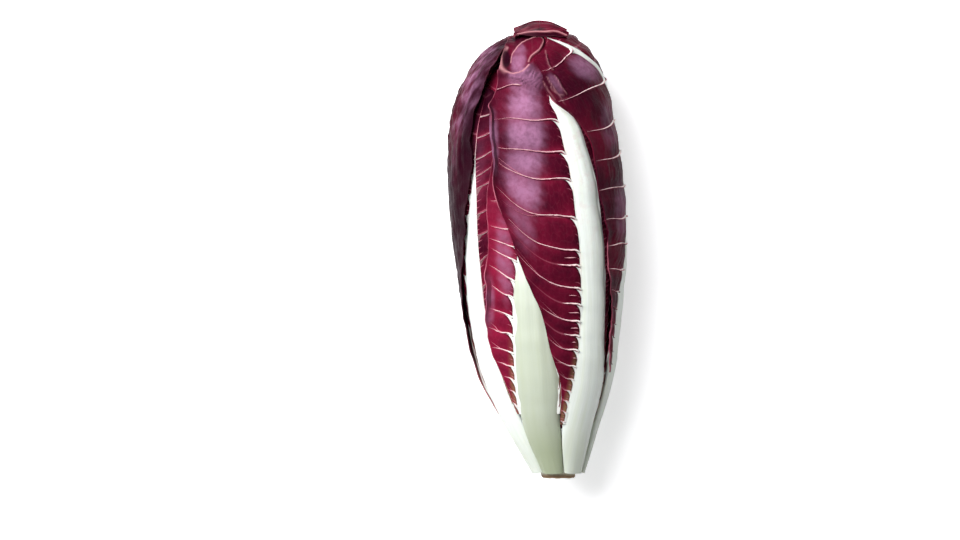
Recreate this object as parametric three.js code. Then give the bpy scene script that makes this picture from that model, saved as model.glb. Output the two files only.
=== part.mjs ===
// A head of Treviso radicchio lying on its side, as it comes to rest when it is put on a table.
//
// Units are millimetres and +Z is up. The head's axis runs along +Y from the cut stem to the leaf
// tips. The origin is on the table, under the middle of the head's box.
//
// Every leaf lies on one family of nested skins. A place on the family is a direction on a sphere
// (pole at the leaf tips), and a depth below the outermost skin. A leaf is then three curves over
// its own length: the line of its rib and its two margins, with the depth of each. Leaves that
// overlap lie at different depths, so they never cross.

import * as THREE from 'three';

// ---------------------------------------------------------------- driving dimensions

const LENGTH = 242; // cut stem to the highest leaf tip
const AXIS_HEIGHT = 40; // the head's axis above the table
const SAG = 0.92; // height of a cross section over its width
const BLADE = 0.9; // thickness of a leaf blade
const RIB_BACK = 3.6; // how far a full rib stands in behind the blade
const RIB_CROWN = 0.15; // height of a rib's rounded back, over its half width
const SEAM = 0.6; // gap between a rib and its blade
const WAVES = 6.5; // waves of a leaf's margin from stem to tip
const RIPPLE = 0.8; // how far the waves move a lifted margin along the skin, in mm
const INNER_DROP = 9; // how far the inner leaves and the heart close below the top of the head
const RIB_POINT = 0.5; // where a rib comes to its point, as a share of its last row of blade
const RIB_START = 0.012; // where the ribs leave the stem, as a share of the way
const STEM_RADIUS = 9;
const STEM_TOP = 22; // where the stem ends inside the heart, in mm from the cut
const CUT_BEVEL = 0.9;
const MIN_FLOOR_WALL = 0.8; // wall left where a leaf is pressed flat on the table

// Outermost skin, from the cut stem to the tips: [share of the way, mm along the axis, radius].
const SKIN = [
  [0, 0, 12.5],
  [0.1, 24, 23],
  [0.2, 49, 33.6],
  [0.3, 75, 40],
  [0.47, 120, 45.6],
  [0.57, 147, 47],
  [0.67, 174, 45.6],
  [0.77, 200.5, 41.4],
  [0.845, 219, 34.5],
  [0.9, 230.5, 27],
  [0.95, 239, 15.5],
  [1, LENGTH, 0],
];

// The axis bends a little to the side: [mm along the axis, mm to the side].
const BEND = [
  [0, 11],
  [48, 4.5],
  [121, 1],
  [200, -3],
  [LENGTH, 1],
];

// Leaf curves. rib, left and right are [share of the way, degrees round the axis] with 0 at the
// top and positive to +X. half is the rib's half width in mm. depths are [share, left margin,
// rib, right margin] in mm below the outermost skin, and drop is how much deeper the leaf closes at
// the top of the head. lift is how far the waves of the left and right margin stand up in mm. hood
// tilts the leaf's rows near the tip, in degrees, so that it can fold over the top of the head.
// split is how many strips of facets the blade has to the left and right of the rib.
const LEAVES = [
  {
    name: 'front_leaf',
    start: 0.12,
    tip: 0.965,
    rib: [[0, 43], [0.1, 43], [0.2, 46], [0.3, 43], [0.4, 41], [0.47, 38.6], [0.53, 36.2], [0.6, 34],
      [0.67, 30], [0.73, 24], [0.77, 13], [1, 8]],
    half: [[0, 5.8], [0.1, 11.4], [0.2, 12.6], [0.3, 9.9], [0.47, 8.8], [0.57, 8.4], [0.67, 7],
      [0.72, 5.6], [0.77, 0]],
    left: [[0.1, 13], [0.2, 12.5], [0.26, 7], [0.33, 0], [0.4, -8], [0.5, -20], [0.6, -27],
      [0.67, -29], [0.75, -30.5], [0.81, -30], [0.86, -34.5], [0.92, -38], [1, -40]],
    right: [[0.1, 65], [0.2, 61.5], [0.3, 61], [0.5, 62], [0.7, 61], [1, 60]],
    depths: [[0, 0.2, 0.2, 0.4], [0.2, 1, 0.8, 1.9], [0.5, 1, 1, 2.5], [0.8, 1, 1, 2.6], [1, 1, 1, 2.6]],
    drop: 6.5,
    lift: [0.8, 0],
    split: [6, 2],
  },
  {
    name: 'right_leaf',
    start: 0.23,
    tip: 0.97,
    rib: [[0, 93.9], [0.1, 93.9], [0.2, 87], [0.3, 79], [0.37, 80], [0.43, 86], [0.5, 96], [0.6, 100],
      [0.7, 100], [0.77, 96], [0.81, 84], [0.85, 67], [0.89, 55], [0.94, 43], [1, 32]],
    half: [[0, 4.4], [0.1, 7.5], [0.2, 8.3], [0.3, 8.2], [0.5, 7], [0.7, 5.2], [0.85, 2.8], [0.96, 0]],
    left: [[0.23, 66], [0.3, 59], [0.37, 55.5], [0.47, 49], [0.57, 44], [0.66, 40], [0.72, 35],
      [0.75, 27], [0.79, 20], [0.85, 15], [1, 12]],
    right: [[0.23, 98], [0.35, 104], [0.5, 114], [0.7, 117], [0.85, 111], [0.93, 95], [1, 75]],
    depths: [[0, 0.2, 0.2, 0.2], [0.25, -0.4, 0.2, 0.3], [0.6, -0.6, 0.5, 0.3], [1, -0.6, 0, 0.3]],
    drop: 5,
    lift: [0.9, 0],
    split: [4, 3],
  },
  {
    name: 'middle_leaf',
    start: 0.14,
    tip: 0.84,
    rib: [[0, -14.6], [0.1, -14.6], [0.2, -9.5], [0.27, -9], [0.47, -9], [0.55, -12], [0.62, -15],
      [0.84, -12]],
    half: [[0, 5.6], [0.1, 10.6], [0.2, 12.4], [0.27, 11.8], [0.35, 10.8], [0.4, 9.2], [0.46, 6.2],
      [0.52, 4], [0.63, 0]],
    left: [[0.14, -40], [0.2, -40.5], [0.26, -46], [0.3, -47.5], [0.37, -43], [0.47, -38], [0.57, -35],
      [0.65, -30], [0.84, -22]],
    right: [[0.14, 10], [0.2, 10], [0.3, 10.5], [0.5, 14], [0.7, 12], [0.84, 4]],
    depths: [[0, 0.2, 0.2, 0.2], [0.15, 1.4, 1.6, 2.2], [0.27, 2, 3.4, 3.6], [0.5, 2.2, 3.7, 3.8],
      [1, 2.8, 3.8, 4]],
    drop: 9,
    lift: [0.4, 0],
    split: [3, 3],
  },
  {
    name: 'left_leaf',
    start: 0.16,
    tip: 0.8,
    rib: [[0, -68], [0.1, -68], [0.2, -64], [0.3, -65.5], [0.37, -62.5], [0.45, -58], [0.53, -51.5],
      [0.6, -47], [0.83, -44]],
    half: [[0, 5.1], [0.1, 9.7], [0.2, 10.2], [0.28, 9.6], [0.37, 7.8], [0.45, 6.6], [0.53, 3.4],
      [0.59, 1.6], [0.65, 0]],
    left: [[0.16, -92], [0.3, -95], [0.5, -92], [0.7, -80], [0.8, -68]],
    right: [[0.16, -46], [0.2, -47], [0.3, -48.5], [0.35, -45], [0.39, -40], [0.47, -33], [0.57, -29],
      [0.7, -27], [0.8, -30]],
    depths: [[0, 0.2, 0.2, 0.2], [0.2, 2.2, 1.4, 3.4], [0.3, 2.5, 1.6, 4.5], [0.45, 2.5, 1.8, 5],
      [0.6, 2.4, 2.2, 5.3], [1, 2.6, 2.9, 5.6]],
    drop: 9,
    lift: [0, 0],
    split: [3, 3],
  },
  {
    name: 'far_left_leaf',
    start: 0.14,
    tip: 0.965,
    rib: [[0, -118.6], [0.1, -118.6], [0.2, -112.5], [0.3, -110], [0.5, -108], [1, -100]],
    half: [[0, 5], [0.1, 9.4], [0.2, 10], [0.3, 8.6], [0.5, 7.2], [0.7, 5], [0.85, 2.6], [0.93, 0]],
    left: [[0.14, -143], [0.3, -144], [0.5, -150], [0.75, -151], [0.85, -158], [1, -158]],
    right: [[0.14, -96], [0.2, -94], [0.3, -83], [0.39, -71], [0.45, -64.5], [0.5, -58], [0.57, -50],
      [0.64, -45.5], [0.72, -45], [0.8, -43], [0.85, -40], [0.9, -38], [0.95, -41], [1, -42]],
    depths: [[0, 0.2, 0.2, 0.2], [0.25, 2.4, 0.8, 0.2], [0.45, 2.8, 0.7, -0.3], [0.6, 3, 0.6, -0.3],
      [0.82, 3, 0.4, -0.3],
      [0.89, 2.6, -0.8, -0.8], [0.95, 2.6, 1, 0.6], [1, 2.6, 1, 1]],
    drop: 3,
    lift: [0, 1],
    split: [3, 5],
  },
  {
    name: 'under_leaf',
    start: 0.14,
    tip: 1.075,
    rib: [[0, 190.2], [0.1, 190.2], [0.2, 186], [0.35, 180], [1.08, 180]],
    half: [[0, 5.1], [0.1, 9.5], [0.2, 10.2], [0.3, 9.2], [0.5, 8.4], [0.7, 6.2], [0.82, 3], [0.9, 0]],
    left: [[0.14, 162], [0.3, 146], [0.5, 139], [0.76, 139], [0.85, 153], [0.9, 163], [0.95, 170],
      [1, 171], [1.08, 169]],
    right: [[0.14, 214], [0.3, 222], [0.5, 231], [0.76, 228], [0.85, 207], [0.9, 198], [0.95, 189],
      [1, 187], [1.08, 188]],
    depths: [[0, 0.2, 0.2, 0.2], [0.3, 0.2, 0.8, 0.2], [0.8, 0.2, 0.6, 0.2], [1.08, 0, 0, 0]],
    hood: [[0.8, 0], [0.9, 18], [1, 72], [1.08, 110]],
    drop: 0,
    lift: [0.8, 0.8],
    split: [4, 4],
  },
  {
    name: 'back_right_leaf',
    start: 0.14,
    tip: 0.94,
    rib: [[0, 139.8], [0.1, 139.8], [0.2, 134], [0.35, 127], [0.5, 124], [1, 122]],
    half: [[0, 5], [0.1, 9.4], [0.2, 10], [0.3, 8], [0.5, 6.6], [0.7, 4.6], [0.85, 2.2], [0.91, 0]],
    left: [[0.14, 115], [0.2, 112], [0.3, 107], [0.4, 108], [0.5, 112], [0.6, 113], [0.75, 111],
      [0.85, 98], [0.93, 82], [1, 72]],
    right: [[0.14, 158], [0.3, 151], [0.5, 151], [0.75, 151], [0.85, 158], [1, 158]],
    depths: [[0, 0.2, 0.2, 0.2], [0.25, 2.4, 1.3, 2.4], [0.6, 3, 1.6, 3], [1, 3, 2, 3]],
    drop: 8,
    lift: [0, 0],
    split: [2, 3],
  },
];

// Leaves of the next whorl in, which show in the gaps between the outer ones.
const INNER = [
  { name: 'inner_leaf_top', middle: -12, spread: 72, depths: [10.3, 8.2, 8], tip: 0.98 },
  { name: 'inner_leaf_right', middle: 108, spread: 72, depths: [10.3, 8.2, 8], tip: 0.955 },
  { name: 'inner_leaf_left', middle: 228, spread: 72, depths: [10.3, 8.2, 8], tip: 0.965 },
];
const INNER_START = 0.2;
const INNER_ROWS = 14;
const INNER_ACROSS = 10;
const HEART_DEPTH = 12.2;
const HEART_FOOT_DEPTH = 5; // the heart is packed closer to the leaves where it meets the stem
const HEART_START = 0.1;
const HEART_END = 0.985;
const HEART_ROWS = 16;
const HEART_AROUND = 24;
const FOLD_COLUMNS = 8; // columns of the heart's grid to one fold
const FOLD_DEPTH = 1.2; // mm

const COLOURS = {
  blade: new THREE.Color(0x5a0f2a),
  inner: new THREE.Color(0x6d1230),
  rib: new THREE.Color(0xe6ecdc),
  heart: new THREE.Color(0x7d1a3a),
  stem: new THREE.Color(0xc9b58e),
};

// ---------------------------------------------------------------- curves and skins

// Smooth curve through a table's rows, read at x, from one of the table's columns.
function curve(table, x, column = 1) {
  const last = table.length - 1;
  if (x <= table[0][0]) return table[0][column];
  if (x >= table[last][0]) return table[last][column];
  let k = 0;
  while (x > table[k + 1][0]) k += 1;
  const slope = (i) => {
    const a = Math.max(i - 1, 0);
    const b = Math.min(i + 1, last);
    return (table[b][column] - table[a][column]) / (table[b][0] - table[a][0]);
  };
  const span = table[k + 1][0] - table[k][0];
  const f = (x - table[k][0]) / span;
  const f2 = f * f;
  const f3 = f2 * f;
  return (
    (2 * f3 - 3 * f2 + 1) * table[k][column] +
    (f3 - 2 * f2 + f) * span * slope(k) +
    (3 * f2 - 2 * f3) * table[k + 1][column] +
    (f3 - f2) * span * slope(k + 1)
  );
}

// Smooth step from 0 at a to 1 at b.
function step(a, b, x) {
  const f = THREE.MathUtils.clamp((x - a) / (b - a), 0, 1);
  return f * f * (3 - 2 * f);
}

// The point of the skin at a depth: share of the way from stem to tip, and angle round the axis.
function skinPoint(share, angle, depth) {
  const d = 0.002;
  const s = Math.min(Math.max(share, 0), 1);
  const low = Math.max(s - d, 0);
  const high = Math.min(s + d, 1);
  const dy = curve(SKIN, high, 1) - curve(SKIN, low, 1);
  const dr = curve(SKIN, high, 2) - curve(SKIN, low, 2);
  const size = Math.hypot(dy, dr);
  const along = curve(SKIN, s, 1) + (depth * dr) / size;
  const radius = Math.max(curve(SKIN, s, 2) - (depth * dy) / size, 0);
  return new THREE.Vector3(
    curve(BEND, along) + radius * Math.sin(angle),
    along - LENGTH / 2,
    AXIS_HEIGHT + SAG * radius * Math.cos(angle),
  );
}

// Where a leaf's row crosses the sphere: share of the way and angle round the axis, for the row
// at s and w radians to the side of the rib. A row is a circle round the axis, and tilt leans its
// plane over, so that rows fan over the pole.
function rowPlace(s, ribAngle, tilt, w) {
  const polar = Math.PI * (1 - s);
  const out = new THREE.Vector3(Math.sin(ribAngle), 0, Math.cos(ribAngle));
  const pole = new THREE.Vector3(0, 1, 0);
  const side = new THREE.Vector3().crossVectors(pole, out);
  const start = out.clone().multiplyScalar(Math.sin(polar)).addScaledVector(pole, Math.cos(polar));
  const normal = pole.clone().multiplyScalar(Math.cos(tilt)).addScaledVector(out, -Math.sin(tilt));
  const centre = normal.clone().multiplyScalar(normal.dot(start));
  const arm = start.clone().sub(centre);
  const place = centre
    .addScaledVector(arm, Math.cos(w))
    .addScaledVector(side, arm.length() * Math.sin(w));
  const share = 1 - Math.acos(THREE.MathUtils.clamp(place.y, -1, 1)) / Math.PI;
  return [share, Math.atan2(place.x, place.z)];
}

// ---------------------------------------------------------------- solids

// A closed solid from a sheet: each cell is three or four corner keys, and at(key) gives the outer
// and inner point of a corner. Walls close every edge that only one cell uses.
function thicken(cells, at) {
  const positions = [];
  const index = new Map();
  const edges = new Map();
  const corner = (key) => {
    if (!index.has(key)) {
      const [outer, inner] = at(key);
      if (outer.z < 0) {
        outer.z = 0;
        inner.z = Math.max(inner.z, MIN_FLOOR_WALL);
      }
      index.set(key, positions.length / 6);
      positions.push(...outer.toArray(), ...inner.toArray());
    }
    return index.get(key);
  };
  const triangles = [];
  for (const cell of cells) {
    const c = cell.map(corner).filter((v, i, all) => all.indexOf(v) === i);
    for (let i = 2; i < c.length; i += 1) {
      triangles.push(2 * c[0], 2 * c[i - 1], 2 * c[i]);
      triangles.push(2 * c[0] + 1, 2 * c[i] + 1, 2 * c[i - 1] + 1);
    }
    if (c.length < 3) continue;
    c.forEach((a, i) => {
      const b = c[(i + 1) % c.length];
      if (!edges.delete(`${b},${a}`)) edges.set(`${a},${b}`, [a, b]);
    });
  }
  for (const [a, b] of edges.values()) {
    triangles.push(2 * a, 2 * a + 1, 2 * b + 1);
    triangles.push(2 * a, 2 * b + 1, 2 * b);
  }
  const geometry = new THREE.BufferGeometry();
  geometry.setAttribute('position', new THREE.Float32BufferAttribute(positions, 3));
  geometry.setIndex(triangles);
  return geometry;
}

// Rows from start to end, closer together towards a rounded tip.
function rowsBetween(start, end, count, rounded) {
  return Array.from({ length: count + 1 }, (_, i) => {
    const f = i / count;
    return start + (end - start) * (rounded ? 0.72 * f + 0.28 * Math.sin((f * Math.PI) / 2) : f);
  });
}

const RAD = Math.PI / 180;
const RIB_ROW = 0.052; // share of the way between two rows of facets beside the rib
const TIP_ROW = 0.045; // the same above the rib's end
const CLOSE_START = 0.82; // share of the way from which the leaves close over the heart
const ROUND_TIP = 0.075; // share of the way over which a leaf rounds off to its tip
const MIN_BLADE = 1.5; // least reach of a blade beside its rib, in mm

// Everything that a leaf's pieces need to know about its row at s.
function leafRow(leaf, s) {
  const rib = curve(leaf.rib, s);
  const radius = Math.max(curve(SKIN, Math.min(s, 1), 2), 8);
  const half = Math.max(curve(leaf.half, s), 0) / radius / RAD;
  const least = half + MIN_BLADE / radius / RAD;
  const wave = 2 * Math.PI * WAVES * s;
  const ripple = (RIPPLE * Math.sin(wave)) / Math.max(radius, 25) / RAD;
  const late = THREE.MathUtils.clamp((s - leaf.tip + ROUND_TIP) / ROUND_TIP, 0, 1);
  const round = Math.sqrt(Math.max(1 - late * late, 0));
  return {
    s,
    rib,
    half: half * round,
    left: Math.min(curve(leaf.left, s) - rib + ripple * leaf.lift[0], -least) * round,
    right: Math.max(curve(leaf.right, s) - rib + ripple * leaf.lift[1], least) * round,
    depths: [1, 2, 3].map((column) => curve(leaf.depths, s, column)),
    lifts: leaf.lift.map((mm) => mm * round * (0.5 - 0.5 * Math.cos(wave))),
    tilt: leaf.hood ? curve(leaf.hood, s) * RAD : 0,
    drop: leaf.drop,
  };
}

// A leaf's point on a row, w degrees to the side of the rib, and extra mm below its own skin.
function leafPoint(row, w, extra) {
  const [share, angle] = rowPlace(row.s, row.rib * RAD, row.tilt, w * RAD);
  const side = w < 0 ? 0 : 1;
  const edge = side === 0 ? row.left : row.right;
  const f = Math.abs(edge) > 1e-6 ? Math.abs(w / edge) : 0;
  const depth = row.depths[1] + (row.depths[2 * side] - row.depths[1]) * step(0, 1, f);
  const lift = row.lifts[side] * f ** 3;
  return skinPoint(share, angle, depth - lift + extra + row.drop * step(CLOSE_START, 1, share));
}

// The rows where a leaf has both a rib and a blade, which the two share so that their edges match.
function sharedRows(leaf) {
  const ribEnd = leaf.half[leaf.half.length - 1][0];
  return rowsBetween(leaf.start, ribEnd, Math.round((ribEnd - leaf.start) / RIB_ROW), false);
}

// The red blade: one body on both sides of the rib, joined above the rib's end.
function bladeGeometry(leaf) {
  const lower = sharedRows(leaf);
  const ribEnd = lower[lower.length - 1];
  const tipRows = Math.max(4, Math.round((leaf.tip - ribEnd) / TIP_ROW));
  const upper = rowsBetween(ribEnd, leaf.tip, tipRows, true);
  const rows = [...lower, ...upper.slice(1)].map((s) => leafRow(leaf, s));
  const joint = lower.length - 1;
  const [nLeft, nRight] = leaf.split;
  const gap = (row) => SEAM / Math.max(curve(SKIN, Math.min(row.s, 1), 2), 8) / RAD;
  const key = (i, side, j) => {
    if (i === rows.length - 1) return `${i}`;
    if (j === 0 && i >= joint) return `${i},0`;
    return `${i},${side * j},${side}`;
  };
  const at = (name) => {
    const [i, signed, sideName] = name.split(',').map(Number);
    const row = rows[i];
    const side = sideName || Math.sign(signed) || 1;
    const j = Math.abs(signed || 0);
    const inside = i < joint ? side * (row.half + gap(row)) : 0;
    const edge = side < 0 ? row.left : row.right;
    const w = inside + ((edge - inside) * j) / (side < 0 ? nLeft : nRight);
    return [leafPoint(row, w, 0), leafPoint(row, w, BLADE)];
  };
  const cells = [];
  for (let i = 0; i + 1 < rows.length; i += 1) {
    for (let j = 0; j < nLeft; j += 1) {
      cells.push([key(i, -1, j + 1), key(i, -1, j), key(i + 1, -1, j), key(i + 1, -1, j + 1)]);
    }
    for (let j = 0; j < nRight; j += 1) {
      cells.push([key(i, 1, j), key(i, 1, j + 1), key(i + 1, 1, j + 1), key(i + 1, 1, j)]);
    }
  }
  return thicken(cells, at);
}

// The white rib: thick and round-backed at the base, running out to nothing along the leaf.
function ribGeometry(leaf) {
  const shared = sharedRows(leaf);
  const [last, end] = shared.slice(-2);
  const foot = rowsBetween(RIB_START, leaf.start, 3, false).slice(0, -1);
  const point = last + RIB_POINT * (end - last);
  const rows = [...foot, ...shared.slice(0, -1), point].map((s) => leafRow(leaf, s));
  const columns = [-1, -0.5, 0, 0.5, 1];
  const key = (i, j) => (i === rows.length - 1 ? `${i},2` : `${i},${j}`);
  const at = (name) => {
    const [i, j] = name.split(',').map(Number);
    const row = rows[i];
    const x = columns[j];
    const halfMm = Math.max(curve(leaf.half, row.s), 0);
    const swell = (1 - x * x) * halfMm * RIB_CROWN;
    const back = BLADE + (RIB_BACK - BLADE) * step(0.6, 6, halfMm) * (1 - 0.35 * x * x);
    const w = x * row.half;
    return [leafPoint(row, w, -swell), leafPoint(row, w, back)];
  };
  const cells = [];
  for (let i = 0; i + 1 < rows.length; i += 1) {
    for (let j = 0; j + 1 < columns.length; j += 1) {
      cells.push([key(i, j), key(i, j + 1), key(i + 1, j + 1), key(i + 1, j)]);
    }
  }
  return thicken(cells, at);
}

// A leaf of the inner whorl, as one plain blade.
function innerLeafGeometry(inner) {
  const leaf = {
    tip: inner.tip,
    rib: [[0, inner.middle], [1, inner.middle]],
    half: [[0, 0], [1, 0]],
    left: [[0, -0.35], [0.35, -1], [1, -1]].map(([s, f]) => [s, inner.middle + f * inner.spread]),
    right: [[0, 0.35], [0.35, 1], [1, 1]].map(([s, f]) => [s, inner.middle + f * inner.spread]),
    depths: [[0, 4, 4, 4], [0.3, ...inner.depths], [1, ...inner.depths]],
    drop: INNER_DROP,
    lift: [0, 0],
  };
  const rows = rowsBetween(INNER_START, leaf.tip, INNER_ROWS, true).map((s) => leafRow(leaf, s));
  const across = INNER_ACROSS;
  const key = (i, j) => (i === rows.length - 1 ? `${i},${across / 2}` : `${i},${j}`);
  const at = (name) => {
    const [i, j] = name.split(',').map(Number);
    const f = (2 * j) / across - 1;
    const w = f < 0 ? -f * rows[i].left : f * rows[i].right;
    return [leafPoint(rows[i], w, 0), leafPoint(rows[i], w, BLADE)];
  };
  const cells = [];
  for (let i = 0; i + 1 < rows.length; i += 1) {
    for (let j = 0; j < across; j += 1) {
      cells.push([key(i, j), key(i, j + 1), key(i + 1, j + 1), key(i + 1, j)]);
    }
  }
  return thicken(cells, at);
}

// A closed body of rings round the axis, from rings of points.
function ringGeometry(rings, first, last) {
  const around = rings[0].length;
  const positions = [...first.toArray(), ...last.toArray(), ...rings.flat().flatMap((p) => p.toArray())];
  const at = (i, j) => 2 + i * around + (j % around);
  const triangles = [];
  for (let j = 0; j < around; j += 1) {
    triangles.push(0, at(0, j + 1), at(0, j));
    triangles.push(1, at(rings.length - 1, j), at(rings.length - 1, j + 1));
    for (let i = 0; i + 1 < rings.length; i += 1) {
      triangles.push(at(i, j), at(i + 1, j + 1), at(i + 1, j));
      triangles.push(at(i, j), at(i, j + 1), at(i + 1, j + 1));
    }
  }
  const geometry = new THREE.BufferGeometry();
  geometry.setAttribute('position', new THREE.Float32BufferAttribute(positions, 3));
  geometry.setIndex(triangles);
  return geometry;
}

// The packed heart that the leaves wrap, with the folds of its own leaves as low spiral ridges.
function heartGeometry() {
  const around = HEART_AROUND;
  const rows = rowsBetween(HEART_START, HEART_END, HEART_ROWS, true);
  const depthAt = (s) => {
    const base = HEART_FOOT_DEPTH + (HEART_DEPTH - HEART_FOOT_DEPTH) * step(0.04, 0.22, s);
    return base + INNER_DROP * step(CLOSE_START, 1, s);
  };
  const rings = rows.map((s) =>
    Array.from({ length: around }, (_, j) => {
      const angle = (j / around) * 2 * Math.PI;
      const fold = ((j + FOLD_COLUMNS * s) % FOLD_COLUMNS) / FOLD_COLUMNS;
      return skinPoint(s, angle, depthAt(s) + FOLD_DEPTH * fold * step(0.15, 0.4, s));
    }),
  );
  const middle = (ring) =>
    ring.reduce((sum, p) => sum.add(p), new THREE.Vector3()).divideScalar(ring.length);
  return ringGeometry(rings, middle(rings[0]), skinPoint(1, 0, depthAt(1)));
}

// The stem, cut across just under the lowest leaves: a round body of [mm along, radius] rings.
function stemGeometry() {
  const sides = 20;
  const profile = [
    [0, STEM_RADIUS - CUT_BEVEL],
    [CUT_BEVEL, STEM_RADIUS],
    [STEM_TOP / 2, STEM_RADIUS + 1],
    [STEM_TOP, STEM_RADIUS + 2.5],
  ];
  const place = (along, radius, angle) =>
    new THREE.Vector3(
      curve(BEND, along) + radius * Math.sin(angle),
      along - LENGTH / 2,
      AXIS_HEIGHT + SAG * radius * Math.cos(angle),
    );
  const rings = profile.map(([along, radius]) =>
    Array.from({ length: sides }, (_, j) => place(along, radius, (j / sides) * 2 * Math.PI)),
  );
  return ringGeometry(rings, place(0, 0, 0), place(STEM_TOP, 0, 0));
}

// ---------------------------------------------------------------- the head

const head = new THREE.Group();
head.name = 'treviso_radicchio_head';

function add(parent, name, geometry, colour, roughness) {
  const material = new THREE.MeshStandardMaterial({ color: colour, roughness, metalness: 0 });
  const mesh = new THREE.Mesh(geometry, material);
  mesh.name = name;
  parent.add(mesh);
  return mesh;
}

for (const leaf of LEAVES) {
  const group = new THREE.Group();
  group.name = leaf.name;
  add(group, `${leaf.name}_blade`, bladeGeometry(leaf), COLOURS.blade, 0.42);
  add(group, `${leaf.name}_rib`, ribGeometry(leaf), COLOURS.rib, 0.5);
  head.add(group);
}
for (const inner of INNER) add(head, inner.name, innerLeafGeometry(inner), COLOURS.inner, 0.5);
add(head, 'heart', heartGeometry(), COLOURS.heart, 0.55);
add(head, 'stem', stemGeometry(), COLOURS.stem, 0.8);

export default head;
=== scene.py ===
# %% [markdown]
# # A head of Treviso radicchio
#
# A long closed head of red chicory lies on a table. Seven outer leaves wrap it. Each has a thick
# white rib and a burgundy blade with pale veins. Between them a few inner leaves show, then the
# packed heart, and at the foot the short cut stem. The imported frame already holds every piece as
# a plain solid, and this script gives each of them its real surface.

import bpy
import numpy as np
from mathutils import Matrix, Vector


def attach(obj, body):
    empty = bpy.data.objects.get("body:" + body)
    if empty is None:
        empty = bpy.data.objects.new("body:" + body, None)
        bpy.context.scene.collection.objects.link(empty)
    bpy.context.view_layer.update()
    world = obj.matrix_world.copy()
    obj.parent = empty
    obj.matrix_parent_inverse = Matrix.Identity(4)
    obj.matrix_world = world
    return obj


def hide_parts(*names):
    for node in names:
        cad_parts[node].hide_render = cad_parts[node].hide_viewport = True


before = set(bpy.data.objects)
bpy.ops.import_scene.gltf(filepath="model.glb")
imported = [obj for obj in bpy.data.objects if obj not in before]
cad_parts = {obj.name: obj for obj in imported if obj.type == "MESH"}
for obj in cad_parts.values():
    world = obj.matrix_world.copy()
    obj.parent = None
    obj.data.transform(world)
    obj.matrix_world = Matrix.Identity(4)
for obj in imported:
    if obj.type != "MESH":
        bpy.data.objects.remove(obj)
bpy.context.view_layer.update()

# %% [markdown]
# ## Nodes in few words
#
# Materials and node groups are trees of many small nodes. A graph adds nodes to a tree and links
# them. What comes out of a node can be added, subtracted, multiplied and divided like a number, and
# every such step adds one more node. An input takes a number, a colour or what a node gives.

# %% Node helpers
class Value:
    """What comes out of a node. Each step of reckoning with it adds a node."""

    def __init__(self, graph, socket):
        self.graph, self.socket = graph, socket

    def __add__(self, other):
        return self.graph.math("ADD", self, other)

    def __sub__(self, other):
        return self.graph.math("SUBTRACT", self, other)

    def __mul__(self, other):
        return self.graph.math("MULTIPLY", self, other)

    def __truediv__(self, other):
        return self.graph.math("DIVIDE", self, other)


class Graph:
    """Adds nodes to a tree and links them."""

    def __init__(self, tree):
        self.tree = tree

    def feed(self, sockets, values):
        """Links what comes out of nodes to the named sockets, and sets constants on them."""
        for key, value in dict(values).items():
            if isinstance(value, Value):
                self.tree.links.new(value.socket, sockets[key])
            else:
                sockets[key].default_value = value

    def get(self, kind, inputs=(), output=0, **settings):
        """Adds a node and returns what comes out of it."""
        node = self.tree.nodes.new(kind)
        for key, value in settings.items():
            setattr(node, key, value)
        self.feed(node.inputs, inputs)
        return Value(self, node.outputs[output])

    def math(self, operation, *values, **settings):
        return self.get("ShaderNodeMath", enumerate(values), operation=operation, **settings)

    def smooth(self, value, start, end, low=0.0, high=1.0):
        """From low to high while the value goes from start to end."""
        inputs = {"Value": value, "From Min": start, "From Max": end, "To Min": low, "To Max": high}
        return self.get("ShaderNodeMapRange", inputs, "Result", interpolation_type="SMOOTHSTEP")

    def layers(self, colour, layers):
        """Lays colours over the first one, each given as (how far it covers, colour)."""
        for cover, over in layers:
            inputs = {0: cover, 6: colour, 7: over}
            colour = self.get("ShaderNodeMix", inputs, 2, data_type="RGBA")
        return colour

    def point(self, name):
        """The number that rides on the points under this name."""
        return self.get("ShaderNodeAttribute", (), "Fac", attribute_name=name)

    def place(self):
        return self.get("ShaderNodeTexCoord", (), "Object")

    def vector(self, x, y=0.0, z=0.0):
        return self.get("ShaderNodeCombineXYZ", {"X": x, "Y": y, "Z": z})

    def noise(self, vector, scale, detail=3.0, rough=0.5, output="Fac"):
        inputs = {"Vector": vector, "Scale": scale, "Detail": detail, "Roughness": rough}
        return self.get("ShaderNodeTexNoise", inputs, output)

    def bump(self, height, strength, distance):
        inputs = {"Strength": strength, "Distance": distance, "Height": height}
        return self.get("ShaderNodeBump", inputs)


# %% New materials, trees and objects
def new_material(name):
    """A material, its graph and the inputs of its shader."""
    material = bpy.data.materials.new(name)
    material.use_nodes = True
    return material, Graph(material.node_tree), material.node_tree.nodes["Principled BSDF"].inputs


def new_tree(kind, name, inputs, outputs):
    """An empty tree with named sockets: its graph, the values it is given and its output sockets."""
    tree = bpy.data.node_groups.new(name, kind)
    for way, sockets in (("INPUT", inputs), ("OUTPUT", outputs)):
        for label, socket in sockets.items():
            tree.interface.new_socket(label, in_out=way, socket_type="NodeSocket" + socket)
    graph = Graph(tree)
    given = tree.nodes.new("NodeGroupInput").outputs
    given = {key: Value(graph, given[key]) for key in inputs}
    return graph, given, tree.nodes.new("NodeGroupOutput").inputs


def add_object(name, data):
    thing = bpy.data.objects.new(name, data)
    bpy.context.scene.collection.objects.link(thing)
    return thing
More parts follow.
